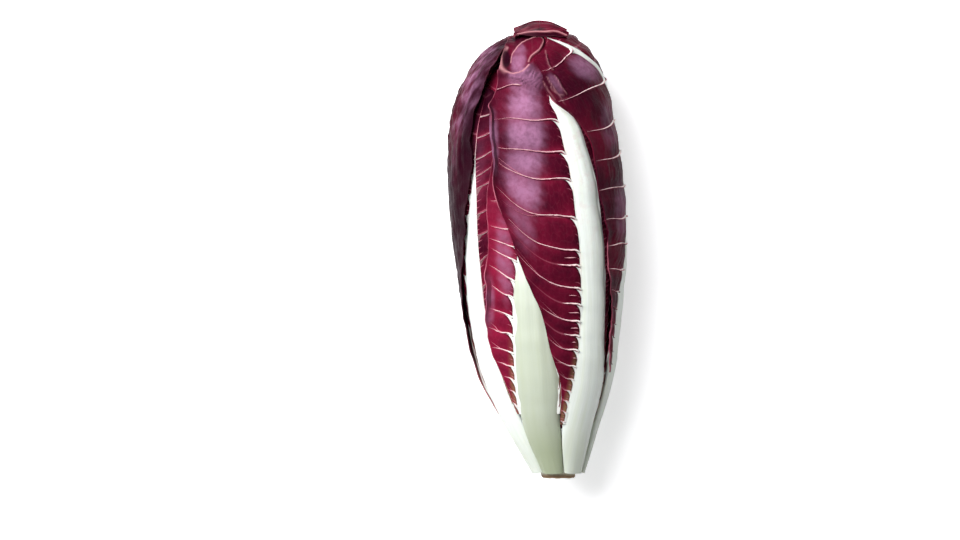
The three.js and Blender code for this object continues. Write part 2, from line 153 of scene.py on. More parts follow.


# %% [markdown]
# ## Camera, table and light
#
# The head lies on its side, so the camera looks straight down on it with the leaf tips up in the
# picture. The table is one wide pale sheet. A large soft light stands at the upper left and gives
# the head its form, and two weak ones open up the sides. The background light is pale too, so the
# shadows stay soft. The leaves hardly shine: their pale lilac streaks are painted highlights in
# their colour, and some of their shade is painted into it as well.

# %% Camera
CAMERA_HEIGHT = 3.2  # metres above the table
VIEW_WIDTH = 0.5088  # metres of table across the picture, at the height of the head's middle
HEAD_MIDDLE = 0.04
CAMERA_PLACE = (-0.0307, -0.0106, CAMERA_HEIGHT)
SENSOR = 36.0  # mm
camera_data = bpy.data.cameras.new("camera")
camera_data.sensor_width = SENSOR
camera_data.lens = SENSOR * (CAMERA_HEIGHT - HEAD_MIDDLE) / VIEW_WIDTH
camera = add_object("camera", camera_data)
camera.location = CAMERA_PLACE
bpy.context.scene.camera = camera
print("lens", round(camera_data.lens, 1), "mm")

# %% Table
TABLE_HALF = 4.0  # metres
TABLE_WHITE = (0.93, 0.93, 0.93, 1)
TABLE_ROUGH = 0.7
TABLE_GLOW = 0.5
GLOW_WHITE = (1, 1, 1, 1)


def table_material():
    material, graph, shader = new_material("table_paint")
    # The camera sees the table as if lit a little from below, which keeps its shadow pale.
    glow = graph.get("ShaderNodeLightPath", (), "Is Camera Ray") * TABLE_GLOW
    graph.feed(shader, {"Base Color": TABLE_WHITE, "Roughness": TABLE_ROUGH})
    graph.feed(shader, {"Emission Color": GLOW_WHITE, "Emission Strength": glow})
    return material


def make_table():
    mesh = bpy.data.meshes.new("table")
    corners = [(-1, -1), (1, -1), (1, 1), (-1, 1)]
    mesh.from_pydata([(x * TABLE_HALF, y * TABLE_HALF, 0) for x, y in corners], [], [(0, 1, 2, 3)])
    mesh.materials.append(table_material())
    table = add_object("table", mesh)


make_table()

# %% Lights
LIGHTS = {  # name: (place, size across, size along, watts, colour), all aimed at the head
    "key": ((-0.5, 0.42, 1.0), 0.75, 0.85, 23.0, (0.98, 0.97, 1.0)),
    "left": ((-1.3, 0.5, 0.5), 0.5, 0.7, 3.2, (0.95, 0.95, 1.0)),
    "right": ((1.25, 0.6, 0.45), 0.35, 0.5, 1.1, (0.98, 0.97, 1.0)),
}
SKY = {"Color": (0.93, 0.94, 0.96, 1), "Strength": 0.24}


def make_light(name, place, across, along, watts, colour):
    data = bpy.data.lights.new(name, "AREA")
    data.shape = "RECTANGLE"
    data.size, data.size_y = across, along
    data.energy = watts
    data.color = colour
    light = add_object(name, data)
    light.location = place
    aim = Vector((0, 0, HEAD_MIDDLE)) - Vector(place)
    light.rotation_euler = aim.to_track_quat("-Z", "Y").to_euler()


for light_name, values in LIGHTS.items():
    make_light(light_name, *values)
world = bpy.data.worlds.new("studio")
world.use_nodes = True
Graph(world.node_tree).feed(world.node_tree.nodes["Background"].inputs, SKY)
bpy.context.scene.world = world
bpy.context.scene.view_settings.view_transform = "Standard"

# %% [markdown]
# ## The nested skins
#
# Leaves that grow round each other are like the skins of an onion. So one family of skins carries
# all of them: a place on it is a share of the way from stem to tip, an angle round the axis and a
# depth below the outermost skin. Two leaves that overlap lie at two depths and never cross. The
# formulas are those of the solids, in millimetres, so the fine leaves fall exactly on the plain
# ones. Smooth tables of a few rows hold every outline, because leaves have no straight edges.

# %% Smooth tables
def curve(table, x, column=1):
    """The smooth curve through a table's rows, read at every x."""
    xs = np.array([row[0] for row in table], float)
    ys = np.array([row[column] for row in table], float)
    last = len(xs) - 1
    before, after = np.maximum(np.arange(last + 1) - 1, 0), np.minimum(np.arange(last + 1) + 1, last)
    slope = (ys[after] - ys[before]) / (xs[after] - xs[before])
    x = np.clip(x, xs[0], xs[-1])
    k = np.clip(np.searchsorted(xs, x, side="left") - 1, 0, last - 1)
    span = xs[k + 1] - xs[k]
    f = (x - xs[k]) / span
    return (
        (2 * f**3 - 3 * f**2 + 1) * ys[k]
        + (f**3 - 2 * f**2 + f) * span * slope[k]
        + (3 * f**2 - 2 * f**3) * ys[k + 1]
        + (f**3 - f**2) * span * slope[k + 1]
    )


def step(a, b, x):
    """Smooth step from 0 at a to 1 at b."""
    f = np.clip((x - a) / (b - a), 0, 1)
    return f * f * (3 - 2 * f)


def bell(x, width):
    """Bell curve, 1 at 0 and almost 0 at twice the width."""
    return np.exp(-((x / width) ** 2))


def unit(vectors):
    return vectors / np.maximum(np.linalg.norm(vectors, axis=-1, keepdims=True), 1e-12)


# %% The skin family
RAD = np.pi / 180
LENGTH = 242.0
AXIS_HEIGHT = 40.0
SAG = 0.92
SKIN = [  # share of the way, mm along the axis, radius
    [0, 0, 12.5], [0.1, 24, 23], [0.2, 49, 33.6], [0.3, 75, 40], [0.47, 120, 45.6],
    [0.57, 147, 47], [0.67, 174, 45.6], [0.77, 200.5, 41.4], [0.845, 219, 34.5],
    [0.9, 230.5, 27], [0.95, 239, 15.5], [1, LENGTH, 0],
]
BEND = [[0, 11], [48, 4.5], [121, 1], [200, -3], [LENGTH, 1]]  # mm along, mm to the side
LEAST_RADIUS = 8  # for turning mm into degrees near the tip
SLOPE_STEP = 0.002  # share of the way on either side over which the skin's slope is taken


def skin_radius(s):
    return np.maximum(curve(SKIN, np.minimum(s, 1), 2), LEAST_RADIUS)


def axis_point(along, radius, angle):
    """The point in mm at a radius and angle round the head's bent axis."""
    return np.stack([
        curve(BEND, along) + radius * np.sin(angle),
        along - LENGTH / 2 + 0 * angle,
        AXIS_HEIGHT + SAG * radius * np.cos(angle),
    ], -1)


def skin_point(share, angle, depth):
    s = np.clip(share, 0, 1)
    low, high = np.maximum(s - SLOPE_STEP, 0), np.minimum(s + SLOPE_STEP, 1)
    dy, dr = (curve(SKIN, high, column) - curve(SKIN, low, column) for column in (1, 2))
    size = np.hypot(dy, dr)
    radius = np.maximum(curve(SKIN, s, 2) - depth * dy / size, 0)
    return axis_point(curve(SKIN, s, 1) + depth * dr / size, radius, angle)


def row_place(s, rib, tilt, w):
    """Share and angle of the point w radians beside the rib, on the leaf's row at s."""
    polar = np.pi * (1 - s)
    zero = np.zeros_like(rib)
    out = np.stack([np.sin(rib), zero, np.cos(rib)], -1)
    side = np.stack([np.cos(rib), zero, -np.sin(rib)], -1)
    pole = np.array([0.0, 1.0, 0.0])
    start = out * np.sin(polar)[..., None] + pole * np.cos(polar)[..., None]
    normal = pole * np.cos(tilt)[..., None] - out * np.sin(tilt)[..., None]
    centre = normal * (normal * start).sum(-1, keepdims=True)
    arm = start - centre
    length = np.linalg.norm(arm, axis=-1, keepdims=True)
    place = centre + arm * np.cos(w)[..., None] + side * length * np.sin(w)[..., None]
    share = 1 - np.arccos(np.clip(place[..., 1], -1, 1)) / np.pi
    return share, np.arctan2(place[..., 0], place[..., 2])


# %% [markdown]
# ## The outlines of the outer leaves
#
# Each leaf is one rib line with a margin on either side. The angles are degrees round the head,
# with 0 on top. The lowest leaf is the only one that folds over the top of the head as a cap, so
# its rows tilt forward near its tip.

# %% Leaf outlines
# Every row starts with the share of the way. After it come degrees for the rib and the margins, mm
# for half the rib's width, and mm below the skin at the left margin, middle and right margin.
# "drop" is how far the tip closes down over the heart, and "lift" how far each margin waves.
LEAVES = [
    {
        "name": "front_leaf",
        "start": 0.12,
        "tip": 0.965,
        "rib": [[0, 43], [0.1, 43], [0.2, 46], [0.3, 43], [0.4, 41], [0.47, 38.6], [0.53, 36.2], [0.6, 34],
            [0.67, 30], [0.73, 24], [0.77, 13], [1, 8]],
        "half": [[0, 5.8], [0.1, 11.4], [0.2, 12.6], [0.3, 9.9], [0.47, 8.8], [0.57, 8.4], [0.67, 7],
            [0.72, 5.6], [0.77, 0]],
        "left": [[0.1, 13], [0.2, 12.5], [0.26, 7], [0.33, 0], [0.4, -8], [0.5, -20], [0.6, -27],
            [0.67, -29], [0.75, -30.5], [0.81, -30], [0.86, -34.5], [0.905, -39], [0.93, -52], [0.96, -62],
            [1, -62]],
        "round": 0.04,
        "right": [[0.1, 65], [0.2, 61.5], [0.3, 61], [0.5, 62], [0.7, 61], [1, 60]],
        "depths": [[0, 0.2, 0.2, 0.4], [0.2, 1, 0.8, 1.9], [0.5, 1, 1, 2.5], [0.8, 1, 1, 2.6],
            [1, 1, 1, 2.6]],
        "drop": 4.5,
        "lift": [0.8, 0],
    },
    {
        "name": "right_leaf",
        "start": 0.23,
        "tip": 0.97,
        "rib": [[0, 93.9], [0.1, 93.9], [0.2, 87], [0.3, 79], [0.37, 80], [0.43, 86], [0.5, 96], [0.6, 100],
            [0.7, 100], [0.77, 96], [0.81, 86], [0.837, 75], [0.86, 59], [0.88, 46], [0.9, 33],
            [0.91, 24], [0.922, 12], [1, 8]],
        "half": [[0, 4.4], [0.1, 7.5], [0.2, 8.3], [0.3, 8.2], [0.5, 7], [0.7, 5.2], [0.82, 3.4],
            [0.88, 3], [0.9, 2.4], [0.925, 0]],
        "left": [[0.23, 66], [0.3, 59], [0.37, 55.5], [0.47, 49], [0.57, 44], [0.66, 40], [0.715, 34.5],
            [0.738, 28], [0.754, 20], [0.769, 13.5], [0.79, 7], [0.82, 5.3], [0.855, 0], [0.88, 8],
            [0.9, 11], [1, 6]],
        "right": [[0.23, 98], [0.35, 104], [0.5, 114], [0.7, 117], [0.85, 111], [0.93, 95], [1, 75]],
        "depths": [[0, 0.2, 0.2, 0.2], [0.25, -0.4, 0.2, 0.3], [0.6, -0.6, 0.5, 0.3], [1, -0.6, 0, 0.3]],
        "drop": 4,
        "lift": [0.9, 0],
        "dip": 0,
    },
    {
        "name": "middle_leaf",
        "start": 0.14,
        "tip": 0.84,
        "rib": [[0, -14.6], [0.1, -14.6], [0.2, -9.5], [0.27, -9], [0.47, -9], [0.55, -12], [0.62, -15],
            [0.84, -12]],
        "half": [[0, 5.6], [0.1, 10.6], [0.2, 12.4], [0.27, 11.8], [0.35, 10.8], [0.4, 9.2], [0.46, 6.2],
            [0.52, 4], [0.63, 0]],
        "left": [[0.14, -40], [0.2, -40.5], [0.26, -46], [0.3, -47.5], [0.37, -43], [0.47, -38],
            [0.57, -35],
            [0.65, -30], [0.84, -22]],
        "right": [[0.14, 10], [0.2, 10], [0.3, 10.5], [0.5, 14], [0.7, 12], [0.84, 4]],
        "depths": [[0, 0.2, 0.2, 0.2], [0.15, 1.4, 1.6, 2.2], [0.27, 2, 3.4, 3.6], [0.5, 2.2, 3.7, 3.8],
            [1, 2.8, 3.8, 4]],
        "drop": 9,
        "lift": [0.4, 0],
    },
    {
        "name": "left_leaf",
        "start": 0.16,
        "tip": 0.8,
        "rib": [[0, -68], [0.1, -68], [0.2, -64], [0.3, -65.5], [0.37, -62.5], [0.45, -58], [0.53, -51.5],
            [0.6, -47], [0.83, -44]],
        "half": [[0, 5.1], [0.1, 9.7], [0.2, 10.2], [0.28, 9.6], [0.37, 7.8], [0.45, 6.6], [0.53, 3.4],
            [0.59, 1.6], [0.65, 0]],
        "left": [[0.16, -92], [0.3, -95], [0.5, -92], [0.7, -80], [0.8, -68]],
        "right": [[0.16, -46], [0.2, -47], [0.3, -48.5], [0.35, -45], [0.39, -40], [0.47, -33], [0.57, -29],
            [0.7, -27], [0.8, -30]],
        "depths": [[0, 0.2, 0.2, 0.2], [0.2, 2.2, 1.4, 3.4], [0.3, 2.5, 1.6, 4.5], [0.45, 2.5, 1.8, 5],
            [0.6, 2.4, 2.2, 5.3], [0.7, 2.6, 3, 5.5], [0.76, 4, 5, 6.8], [1, 5, 6, 7.5]],
        "drop": 9,
        "lift": [0, 0],
        "dip": 0,
    },
    {
        "name": "far_left_leaf",
        "start": 0.14,
        "tip": 0.953,
        "round": 0.03,
        "rib": [[0, -118.6], [0.1, -118.6], [0.2, -112.5], [0.3, -110], [0.5, -108], [1, -100]],
        "half": [[0, 5], [0.1, 9.4], [0.2, 10], [0.3, 8.6], [0.5, 7.2], [0.7, 5], [0.85, 2.6], [0.93, 0]],
        "left": [[0.14, -143], [0.3, -144], [0.5, -150], [0.75, -151], [0.85, -158], [1, -158]],
        "right": [[0.14, -96], [0.2, -94], [0.3, -83], [0.39, -71], [0.45, -64.5], [0.5, -58], [0.57, -50],
            [0.64, -45.5], [0.72, -45], [0.8, -43], [0.85, -40], [0.9, -36], [0.95, -30], [1, -28]],
        "depths": [[0, 0.2, 0.2, 0.2], [0.25, 2.4, 0.8, 0.2], [0.45, 2.8, 0.7, -0.3], [0.6, 3, 0.6, -0.3],
            [0.75, 3, 0.6, -0.2],
            [0.82, 3, 1.4, 0.6], [0.89, 2.6, 1.6, 1.2], [0.95, 2.6, 2.4, 2.2], [1, 2.6, 3, 3]],
        "drop": 3,
        "lift": [0, 1],
    },
    {
        "name": "under_leaf",
        "start": 0.14,
        "tip": 1.082,
        "rib": [[0, 190.2], [0.1, 190.2], [0.2, 186], [0.35, 180], [1.08, 180]],
        "half": [[0, 5.1], [0.1, 9.5], [0.2, 10.2], [0.3, 9.2], [0.5, 8.4], [0.7, 6.2], [0.82, 3],
            [0.9, 0]],
        "left": [[0.14, 162], [0.3, 146], [0.5, 139], [0.76, 139], [0.85, 153], [0.9, 163], [0.95, 170],
            [1, 169], [1.08, 168]],
        "right": [[0.14, 214], [0.3, 222], [0.5, 231], [0.76, 228], [0.85, 207], [0.9, 198], [0.95, 188],
            [1, 186], [1.08, 187]],
        "depths": [[0, 0.2, 0.2, 0.2], [0.3, 0.2, 0.8, 0.2], [0.8, 0.2, 0.6, 0.2], [1.08, 0, 0, 0]],
        "round": 0.022,
        "skew": 0.000125,
        "hood": [[0.8, 0], [0.9, 18], [1, 72], [1.08, 110]],
        "drop": 0,
        "lift": [0.8, 0.8],
    },
    {
        "name": "back_right_leaf",
        "start": 0.14,
        "tip": 0.94,
        "rib": [[0, 139.8], [0.1, 139.8], [0.2, 134], [0.35, 127], [0.5, 124], [1, 122]],
        "half": [[0, 5], [0.1, 9.4], [0.2, 10], [0.3, 8], [0.5, 6.6], [0.7, 4.6], [0.85, 2.2], [0.91, 0]],
        "left": [[0.14, 115], [0.2, 112], [0.3, 107], [0.4, 108], [0.5, 112], [0.6, 113], [0.75, 111],
            [0.85, 98], [0.93, 82], [1, 72]],
        "right": [[0.14, 158], [0.3, 151], [0.5, 151], [0.75, 151], [0.85, 158], [1, 158]],
        "depths": [[0, 0.2, 0.2, 0.2], [0.25, 2.4, 1.3, 2.4], [0.6, 3, 1.6, 3], [1, 3, 2, 3]],
        "drop": 8,
        "lift": [0, 0],
    },
]
WAVES = 6.5  # waves of a loose margin along the head
RIPPLE = 0.8  # mm
RIPPLE_RADIUS = 25  # mm, and where the head is thinner the waves grow no further in degrees
ROUND_TIP = 0.075  # share of the way over which a tip rounds off
MIN_BLADE = 1.5  # mm of blade beside the rib at least
DROP_START = 0.82  # share of the way from which a leaf closes down over the heart
SKEW_START = 0.95  # from here a skewed tip leans to one side
print("outer leaves:", ", ".join(leaf["name"] for leaf in LEAVES))


# %% Leaf rows
def leaf_row(leaf, s):
    """The outline of the leaf in the rows at s: half the rib and the margins, in degrees."""
    rib = curve(leaf["rib"], s)
    radius = skin_radius(s)
    half = np.maximum(curve(leaf["half"], s), 0) / radius / RAD
    least = half + MIN_BLADE / radius / RAD
    wave = 2 * np.pi * WAVES * s
    ripple = RIPPLE * np.sin(wave) / np.maximum(radius, RIPPLE_RADIUS) / RAD
    turn = leaf.get("round", ROUND_TIP)
    late = np.clip((s - leaf["tip"] + turn) / turn, 0, 1)
    rounding = np.sqrt(np.maximum(1 - late**2, 0))
    left, right = (curve(leaf[key], s) - rib + ripple * lift
                   for key, lift in zip(("left", "right"), leaf["lift"]))
    return {
        "rib": rib,
        "radius": radius,
        "half": half * rounding,
        "left": np.minimum(left, -least) * rounding,
        "right": np.maximum(right, least) * rounding,
        "wave": rounding * (0.5 - 0.5 * np.cos(wave)),
    }


def leaf_frame(leaf, s, w):
    """mm for a degree, degrees to the margin, and mm to the rib and to the margin at each place."""
    row = leaf_row(leaf, s)
    mm = RAD * row["radius"]
    edge = np.abs(np.where(w < 0, row["left"], row["right"]))
    return mm, edge, (np.abs(w) - row["half"]) * mm, (edge - np.abs(w)) * mm


def leaf_point(leaf, s, w, extra=0.0):
    """The leaf's plain surface w degrees beside its rib, as in the solids, in mm."""
    row = leaf_row(leaf, s)
    s = s + leaf.get("skew", 0) * step(SKEW_START, 1, s) * w
    tilt = curve(leaf["hood"], s) * RAD if "hood" in leaf else np.zeros_like(row["rib"])
    share, angle = row_place(s, row["rib"] * RAD, tilt, w * RAD)
    edge = np.where(w < 0, row["left"], row["right"])
    f = np.abs(w) / np.maximum(np.abs(edge), 1e-6)
    left, middle, right = (curve(leaf["depths"], s, column) for column in (1, 2, 3))
    depth = middle + (np.where(w < 0, left, right) - middle) * step(0, 1, f)
    lift = np.where(w < 0, *leaf["lift"]) * row["wave"] * f**3
    return skin_point(share, angle, depth - lift + extra + leaf["drop"] * step(DROP_START, 1, share))


# %% [markdown]
# ## Veins
#
# Side veins leave the rib almost square to it and then bend up towards the tip. A vein is given by
# where it leaves the rib and how far it climbs by the margin. Numbering the veins from the bottom
# gives every place on the blade a vein number, whole on a vein and in between elsewhere. Both the
# raised ridges and the fine network in the colour follow that one number, so they agree.

# %% Vein tables
def even_veins(start, end, gap, climb):
    """Evenly spaced veins from start to end, all climbing the same."""
    return [[s, climb] for s in np.arange(start, end, gap)]


VEINS = {  # leaf: power of the bend, then for its left and right side [where on the rib, climb],
    # and for a few the fractions of the way to the margin at which the vein starts and ends
    "front_leaf": (
        4.0,
        [[0.128, 0], [0.148, 0.002], [0.17, 0.004], [0.191, 0.008], [0.216, 0.014], [0.243, 0.022],
         [0.275, 0.026], [0.304, 0.03, -0.01, 0.5], [0.333, 0.034], [0.366, 0.06, -0.01, 0.45],
         [0.398, 0.074], [0.443, 0.078, -0.01, 0.4], [0.473, 0.08], [0.537, 0.065], [0.611, 0.04],
         [0.664, 0.012], [0.727, 0.002], [0.798, -0.01, 0.5, 0.97]],
        even_veins(0.14, 0.48, 0.034, 0.02),
    ),
    "right_leaf": (
        1.0,
        [[0.245, 0.012], [0.27, 0.012], [0.298, 0.012], [0.325, 0.01], [0.355, 0.008], [0.39, 0.004],
         [0.435, 0], [0.487, -0.004], [0.541, -0.01], [0.602, -0.014], [0.67, -0.027], [0.732, -0.032],
         [0.812, -0.05], [0.885, -0.06]],
        even_veins(0.25, 0.84, 0.04, 0.03),
    ),
    "middle_leaf": (
        1.6,
        [[0.16, 0.006], [0.187, 0.008], [0.213, 0.01], [0.24, 0.01], [0.269, 0.012], [0.305, 0.015],
         [0.342, 0.018], [0.381, 0.025], [0.413, 0.036], [0.452, 0.03], [0.478, 0.02],
         [0.51, 0.012], [0.562, 0.008], [0.61, 0.006], [0.66, 0.006], [0.7, 0.006]],
        even_veins(0.16, 0.8, 0.036, 0.02),
    ),
    "left_leaf": (
        1.15,
        even_veins(0.18, 0.77, 0.04, 0.02),
        [[0.18, 0.004], [0.205, 0.006], [0.232, 0.008], [0.262, 0.01], [0.298, 0.013], [0.345, 0.018],
         [0.4, 0.022], [0.4505, 0.028], [0.501, 0.02], [0.542, 0.024], [0.592, 0.028],
         [0.616, 0.03], [0.649, 0.027], [0.692, 0.024], [0.735, 0.02]],
    ),
    "far_left_leaf": (1.6, even_veins(0.16, 0.93, 0.042, 0.03), even_veins(0.16, 0.93, 0.05, 0.07)),
    "under_leaf": (1.6, even_veins(0.16, 0.9, 0.045, 0.04), even_veins(0.16, 0.9, 0.045, 0.04)),
    "back_right_leaf": (1.6, even_veins(0.16, 0.9, 0.04, 0.03), even_veins(0.16, 0.9, 0.04, 0.03)),
}
PAD = 8  # veins added past either end of a table, so that numbers run on smoothly
SEARCH_SPAN, SEARCH_STEPS = 0.16, 16
LAST_CLIMB = 1.1  # how far past the margin veins go on climbing, in widths of the blade
DIP_REACH = 3.4  # mm from the rib within which a vein bends down into it
DIP_SHARE = 0.14  # how far down it bends, of the gap between two veins
DIP_LIMITS = (0.2, 1.5)  # mm


# %% Vein numbers
def padded(veins):
    first, last = veins[0], veins[-1]
    low, high = veins[1][0] - first[0], last[0] - veins[-2][0]
    before = [[first[0] - low * k, first[1]] for k in range(PAD, 0, -1)]
    after = [[last[0] + high * k, last[1]] for k in range(1, PAD + 1)]
    return np.array(before + [row[:2] for row in veins] + after, float)


def vein_start(veins, number):
    return np.interp(number, np.arange(-PAD, len(veins) - PAD), veins[:, 0])


def number_at_rib(veins, s):
    return np.interp(s, veins[:, 0], np.arange(-PAD, len(veins) - PAD))


def vein_number(veins, bend, s, f):
    """The vein number of the place at s, a fraction f of the way from the rib to the margin."""
    climb = np.clip(f, 0, LAST_CLIMB) ** bend
    low, high = s - SEARCH_SPAN, s + SEARCH_SPAN
    for _ in range(SEARCH_STEPS):
        middle = (low + high) / 2
        below = middle + np.interp(middle, veins[:, 0], veins[:, 1]) * climb < s
        low, high = np.where(below, middle, low), np.where(below, high, middle)
    return number_at_rib(veins, low)


def vein_gap(veins, number):
    return (vein_start(veins, number + 0.5) - vein_start(veins, number - 0.5)) * LENGTH


def vein_dip(leaf, gap, rib_mm):
    """How far down in share of the way a vein sits near the rib, where it bends into it."""
    near = 1 - np.clip(rib_mm / DIP_REACH, 0, 1)
    return np.clip(DIP_SHARE * gap, *DIP_LIMITS) * near**2 / LENGTH * leaf.get("dip", 1)


def leaf_veins(leaf, s, w):
    """Vein number and mm between neighbouring veins at each place of a leaf."""
    bend, *sides = VEINS[leaf["name"]]
    row = leaf_row(leaf, s)
    rib_mm = leaf_frame(leaf, s, w)[2]
    result = []
    for veins, edge in zip(map(padded, sides), (row["left"], row["right"])):
        f = (np.abs(w) - row["half"]) / np.maximum(np.abs(edge) - row["half"], 1e-6)
        gap = vein_gap(veins, number_at_rib(veins, s))
        number = vein_number(veins, bend, s + vein_dip(leaf, gap, rib_mm), np.maximum(f, 0))
        result.append((number, vein_gap(veins, number)))
    return [np.where(w < 0, a, b) for a, b in zip(*result)]

# %% [markdown]
# ## The leaf surface
#
# On the plain surface come the things that make a leaf: the blade swells between its veins, the
# whole sheet is a little uneven, and the margins curl. A curl is built as a strip that rolls up
# along the margin: the same strip of leaf, laid on a cylinder instead of flat. That keeps its width
# true, where pushing points outward would stretch it.

# %% Curls and noise
PUCKER = 0.55  # mm the blade swells between two veins
FLAT_PUCKER = {"far_left_leaf": 0.4}  # share of it on a leaf that lies flatter
CURL_STRIP = 5.0  # mm of the margin that rolls
CURL_SHARE = 0.35  # of the blade's width, where the blade is narrow
CURL_JITTER = 12  # degrees
CURLS = {  # leaf: left and right margin as [share of the way, degrees rolled outward]
    "front_leaf": (
        [[0.12, 0], [0.4, 5], [0.52, 10], [0.58, 70], [0.62, 150], [0.68, 190], [0.735, 190],
         [0.765, 50], [0.79, 10], [0.97, 10]],
        [[0.12, -10], [1, -10]],
    ),
    "right_leaf": (
        [[0.23, 5], [0.6, 8], [0.7, 5], [0.76, -10], [0.86, -10], [0.97, 0]],
        [[0.23, 5], [1, -5]],
    ),
    "middle_leaf": (
        [[0.14, 5], [0.3, 30], [0.36, 130], [0.4, 150], [0.44, 60], [0.5, 15], [0.62, 15], [0.84, 10]],
        [[0.14, 0], [1, 0]],
    ),
    "left_leaf": (
        [[0.16, 10], [1, 10]],
        [[0.16, 5], [0.3, 10], [0.42, 40], [0.52, 20], [0.8, 10]],
    ),
    "far_left_leaf": (
        [[0.14, 10], [1, 10]],
        [[0.14, 0], [0.5, 5], [0.65, 8], [0.75, -15], [0.85, -20], [0.92, 0], [1, 0]],
    ),
    "under_leaf": (
        [[0.14, 5], [0.8, 5], [0.92, -30], [0.98, -80], [1.08, -80]],
        [[0.14, 5], [0.8, 5], [0.92, -30], [0.98, -80], [1.08, -80]],
    ),
    "back_right_leaf": ([[0.14, 5], [1, 5]], [[0.14, 5], [1, 5]]),
}


def soft_noise(seed, size, *coordinates):
    """Noise from about -1 to 1 with bumps some size mm apart: sine waves in fixed directions."""
    rng = np.random.default_rng(seed)
    total = 0.0
    for octave, weight in ((1.0, 0.6), (2.1, 0.3), (4.3, 0.15)):
        for _ in range(3):
            direction = rng.normal(size=len(coordinates))
            direction *= 2 * np.pi * octave / size / np.linalg.norm(direction)
            turn = rng.uniform(0, 2 * np.pi)
            course = sum(d * c for d, c in zip(direction, coordinates))
            total = total + weight * 0.6 * np.sin(course + turn)
    return total


def name_seed(leaf):
    return sum(map(ord, leaf["name"]))


# %% [markdown]
# The tip of the front leaf is folded over itself: a lip curls round a small hollow, and out of the
# hollow a lobe points up to the right. Below the lip the blade is gathered into fine wrinkles. The
# leaf beside it has a few sharp creases there. All of them are lines on the surface with a certain
# cross section, so they are given as lines seen from above, in mm from the head's middle.

# %% Seen from above
MM = 0.001


def seen(points):
    """Where points in mm appear from the camera, measured in the plane through the head's middle."""
    centre = np.array(CAMERA_PLACE[:2]) / MM
    scale = (CAMERA_HEIGHT - HEAD_MIDDLE) / (CAMERA_HEIGHT - points[..., 2:] * MM)
    return centre + (points[..., :2] - centre) * scale


def smooth_line(corners, count=60):
    """A smooth line through a few corners."""
    t = np.linspace(0, len(corners) - 1, count)
    rows = [[i, *corner] for i, corner in enumerate(corners)]
    return np.stack([curve(rows, t, 1), curve(rows, t, 2)], -1)


def line_distance(places, line):
    """Distance from each place to a line, and the side it is on: 1 to the left of its course."""
    near = np.full(places.shape[:-1], 1e9)
    side = np.ones_like(near)
    for a, b in zip(line, line[1:]):
        along = b - a
        t = np.clip(((places - a) @ along) / (along @ along), 0, 1)
        offset = places - a - t[..., None] * along
        distance = np.hypot(offset[..., 0], offset[..., 1])
        turn = along[0] * (places[..., 1] - a[1]) - along[1] * (places[..., 0] - a[0])
        side = np.where(distance < near, np.where(turn >= 0, 1.0, -1.0), side)
        near = np.minimum(near, distance)
    return near, side


# %% Folds at the front leaf's tip
LIP = [[-15.7, 106.9], [-19.2, 103.3], [-19.6, 98.1], [-17.6, 95.0], [-13.3, 92.9], [-9.5, 93.6],
       [-6.7, 95.1], [-4.6, 97.3]]
LOBE = [[-14.7, 98.9], [-14.4, 100.9], [-13.3, 103.7], [-9.5, 108.0], [-3.9, 111.1], [0.9, 112.2],
        [3.2, 110.8], [3.0, 108.5], [0.9, 104.7], [-2.9, 101.8], [-4.4, 99.4]]
HOLLOW = [-17.0, 101.6]
LIP_HEIGHT, LIP_INSIDE, LIP_OUTSIDE = 1.9, 0.8, 2.6  # mm, and how wide it is on either side
LOBE_HEIGHT, LOBE_REACH, LOBE_RIM = 1.6, 7, 0.45  # mm, how far in it fades, and half its steep rim
HOLLOW_DEPTH, HOLLOW_SIZE = 3.2, (2.1, 4.6)
WRINKLE_HEIGHT, WRINKLE_TURN = 0.7, 3.4  # mm, and radians for each mm away from the lip


def tip_folds(places):
    """Height of the folds in mm, how strongly their crests show and how deep the hollow is."""
    x, y = places[..., 0], places[..., 1]
    # The lip runs round the hollow, which lies to its left, and is steeper on that side.
    lip_far, side = line_distance(places, smooth_line(LIP))
    lip = np.where(side > 0, bell(lip_far, LIP_INSIDE), bell(lip_far, LIP_OUTSIDE))
    lip = lip * step(-21.5, -19, x)
    lobe_far, side = line_distance(places, smooth_line(LOBE))
    rim = np.where(side < 0, lobe_far, -lobe_far)
    lobe = step(-LOBE_RIM, LOBE_RIM, rim) * bell(lobe_far, LOBE_REACH) * step(97.5, 101.5, y)
    hollow = bell(x - HOLLOW[0], HOLLOW_SIZE[0]) * bell(y - HOLLOW[1], HOLLOW_SIZE[1])
    below = step(95.5, 93.5, y) * step(80, 86, y) * step(-16, -12, x) * step(4, 0, x)
    arc = lip_far + 0.7 * soft_noise(11, 6, x, y)
    wrinkles = below * (0.5 + 0.5 * soft_noise(12, 5, x * 0.5, y)) * np.cos(arc * WRINKLE_TURN)
    height = LIP_HEIGHT * lip + LOBE_HEIGHT * lobe - HOLLOW_DEPTH * hollow + WRINKLE_HEIGHT * wrinkles
    lip_line = bell(lip_far, 0.38 + 0.8 * step(-15, -18, x))
    return height, np.maximum(lip_line, bell(rim - 0.5, 0.3) * (y > 99)), hollow


# %% Creases at the right leaf's tip
CREASES = [
    [[4.7, 91.9], [7.2, 87.2], [10.3, 82.9], [12.6, 79.6], [14.1, 77.2]],
    [[8.9, 92.4], [10.8, 89.2], [12.0, 86.6], [15.1, 82.9]],
    [[3.9, 105.6], [4.6, 101.4], [6.5, 97.1], [8.2, 95.7]],
    [[6.6, 86.2], [8.4, 83.9], [11.2, 82.2], [13.5, 82.3]],
    [[2.6, 89.5], [5.0, 84.6], [8.9, 79.6]],
]


def tip_creases(places):
    """Height of the creases in mm and how strongly their pale crests show, a painted highlight. They leave
    no hollow.
    """
    far = np.min([line_distance(places, smooth_line(line, 24))[0] for line in CREASES], axis=0)
    return 0.6 * bell(far, 0.5) - 0.4 * bell(far - 1.2, 0.6), bell(far, 0.3), 0 * far


TIP_FORMS = {"front_leaf": tip_folds, "right_leaf": tip_creases}
TIP_FADE = (0.74, 0.78)  # share of the way over which these forms set in

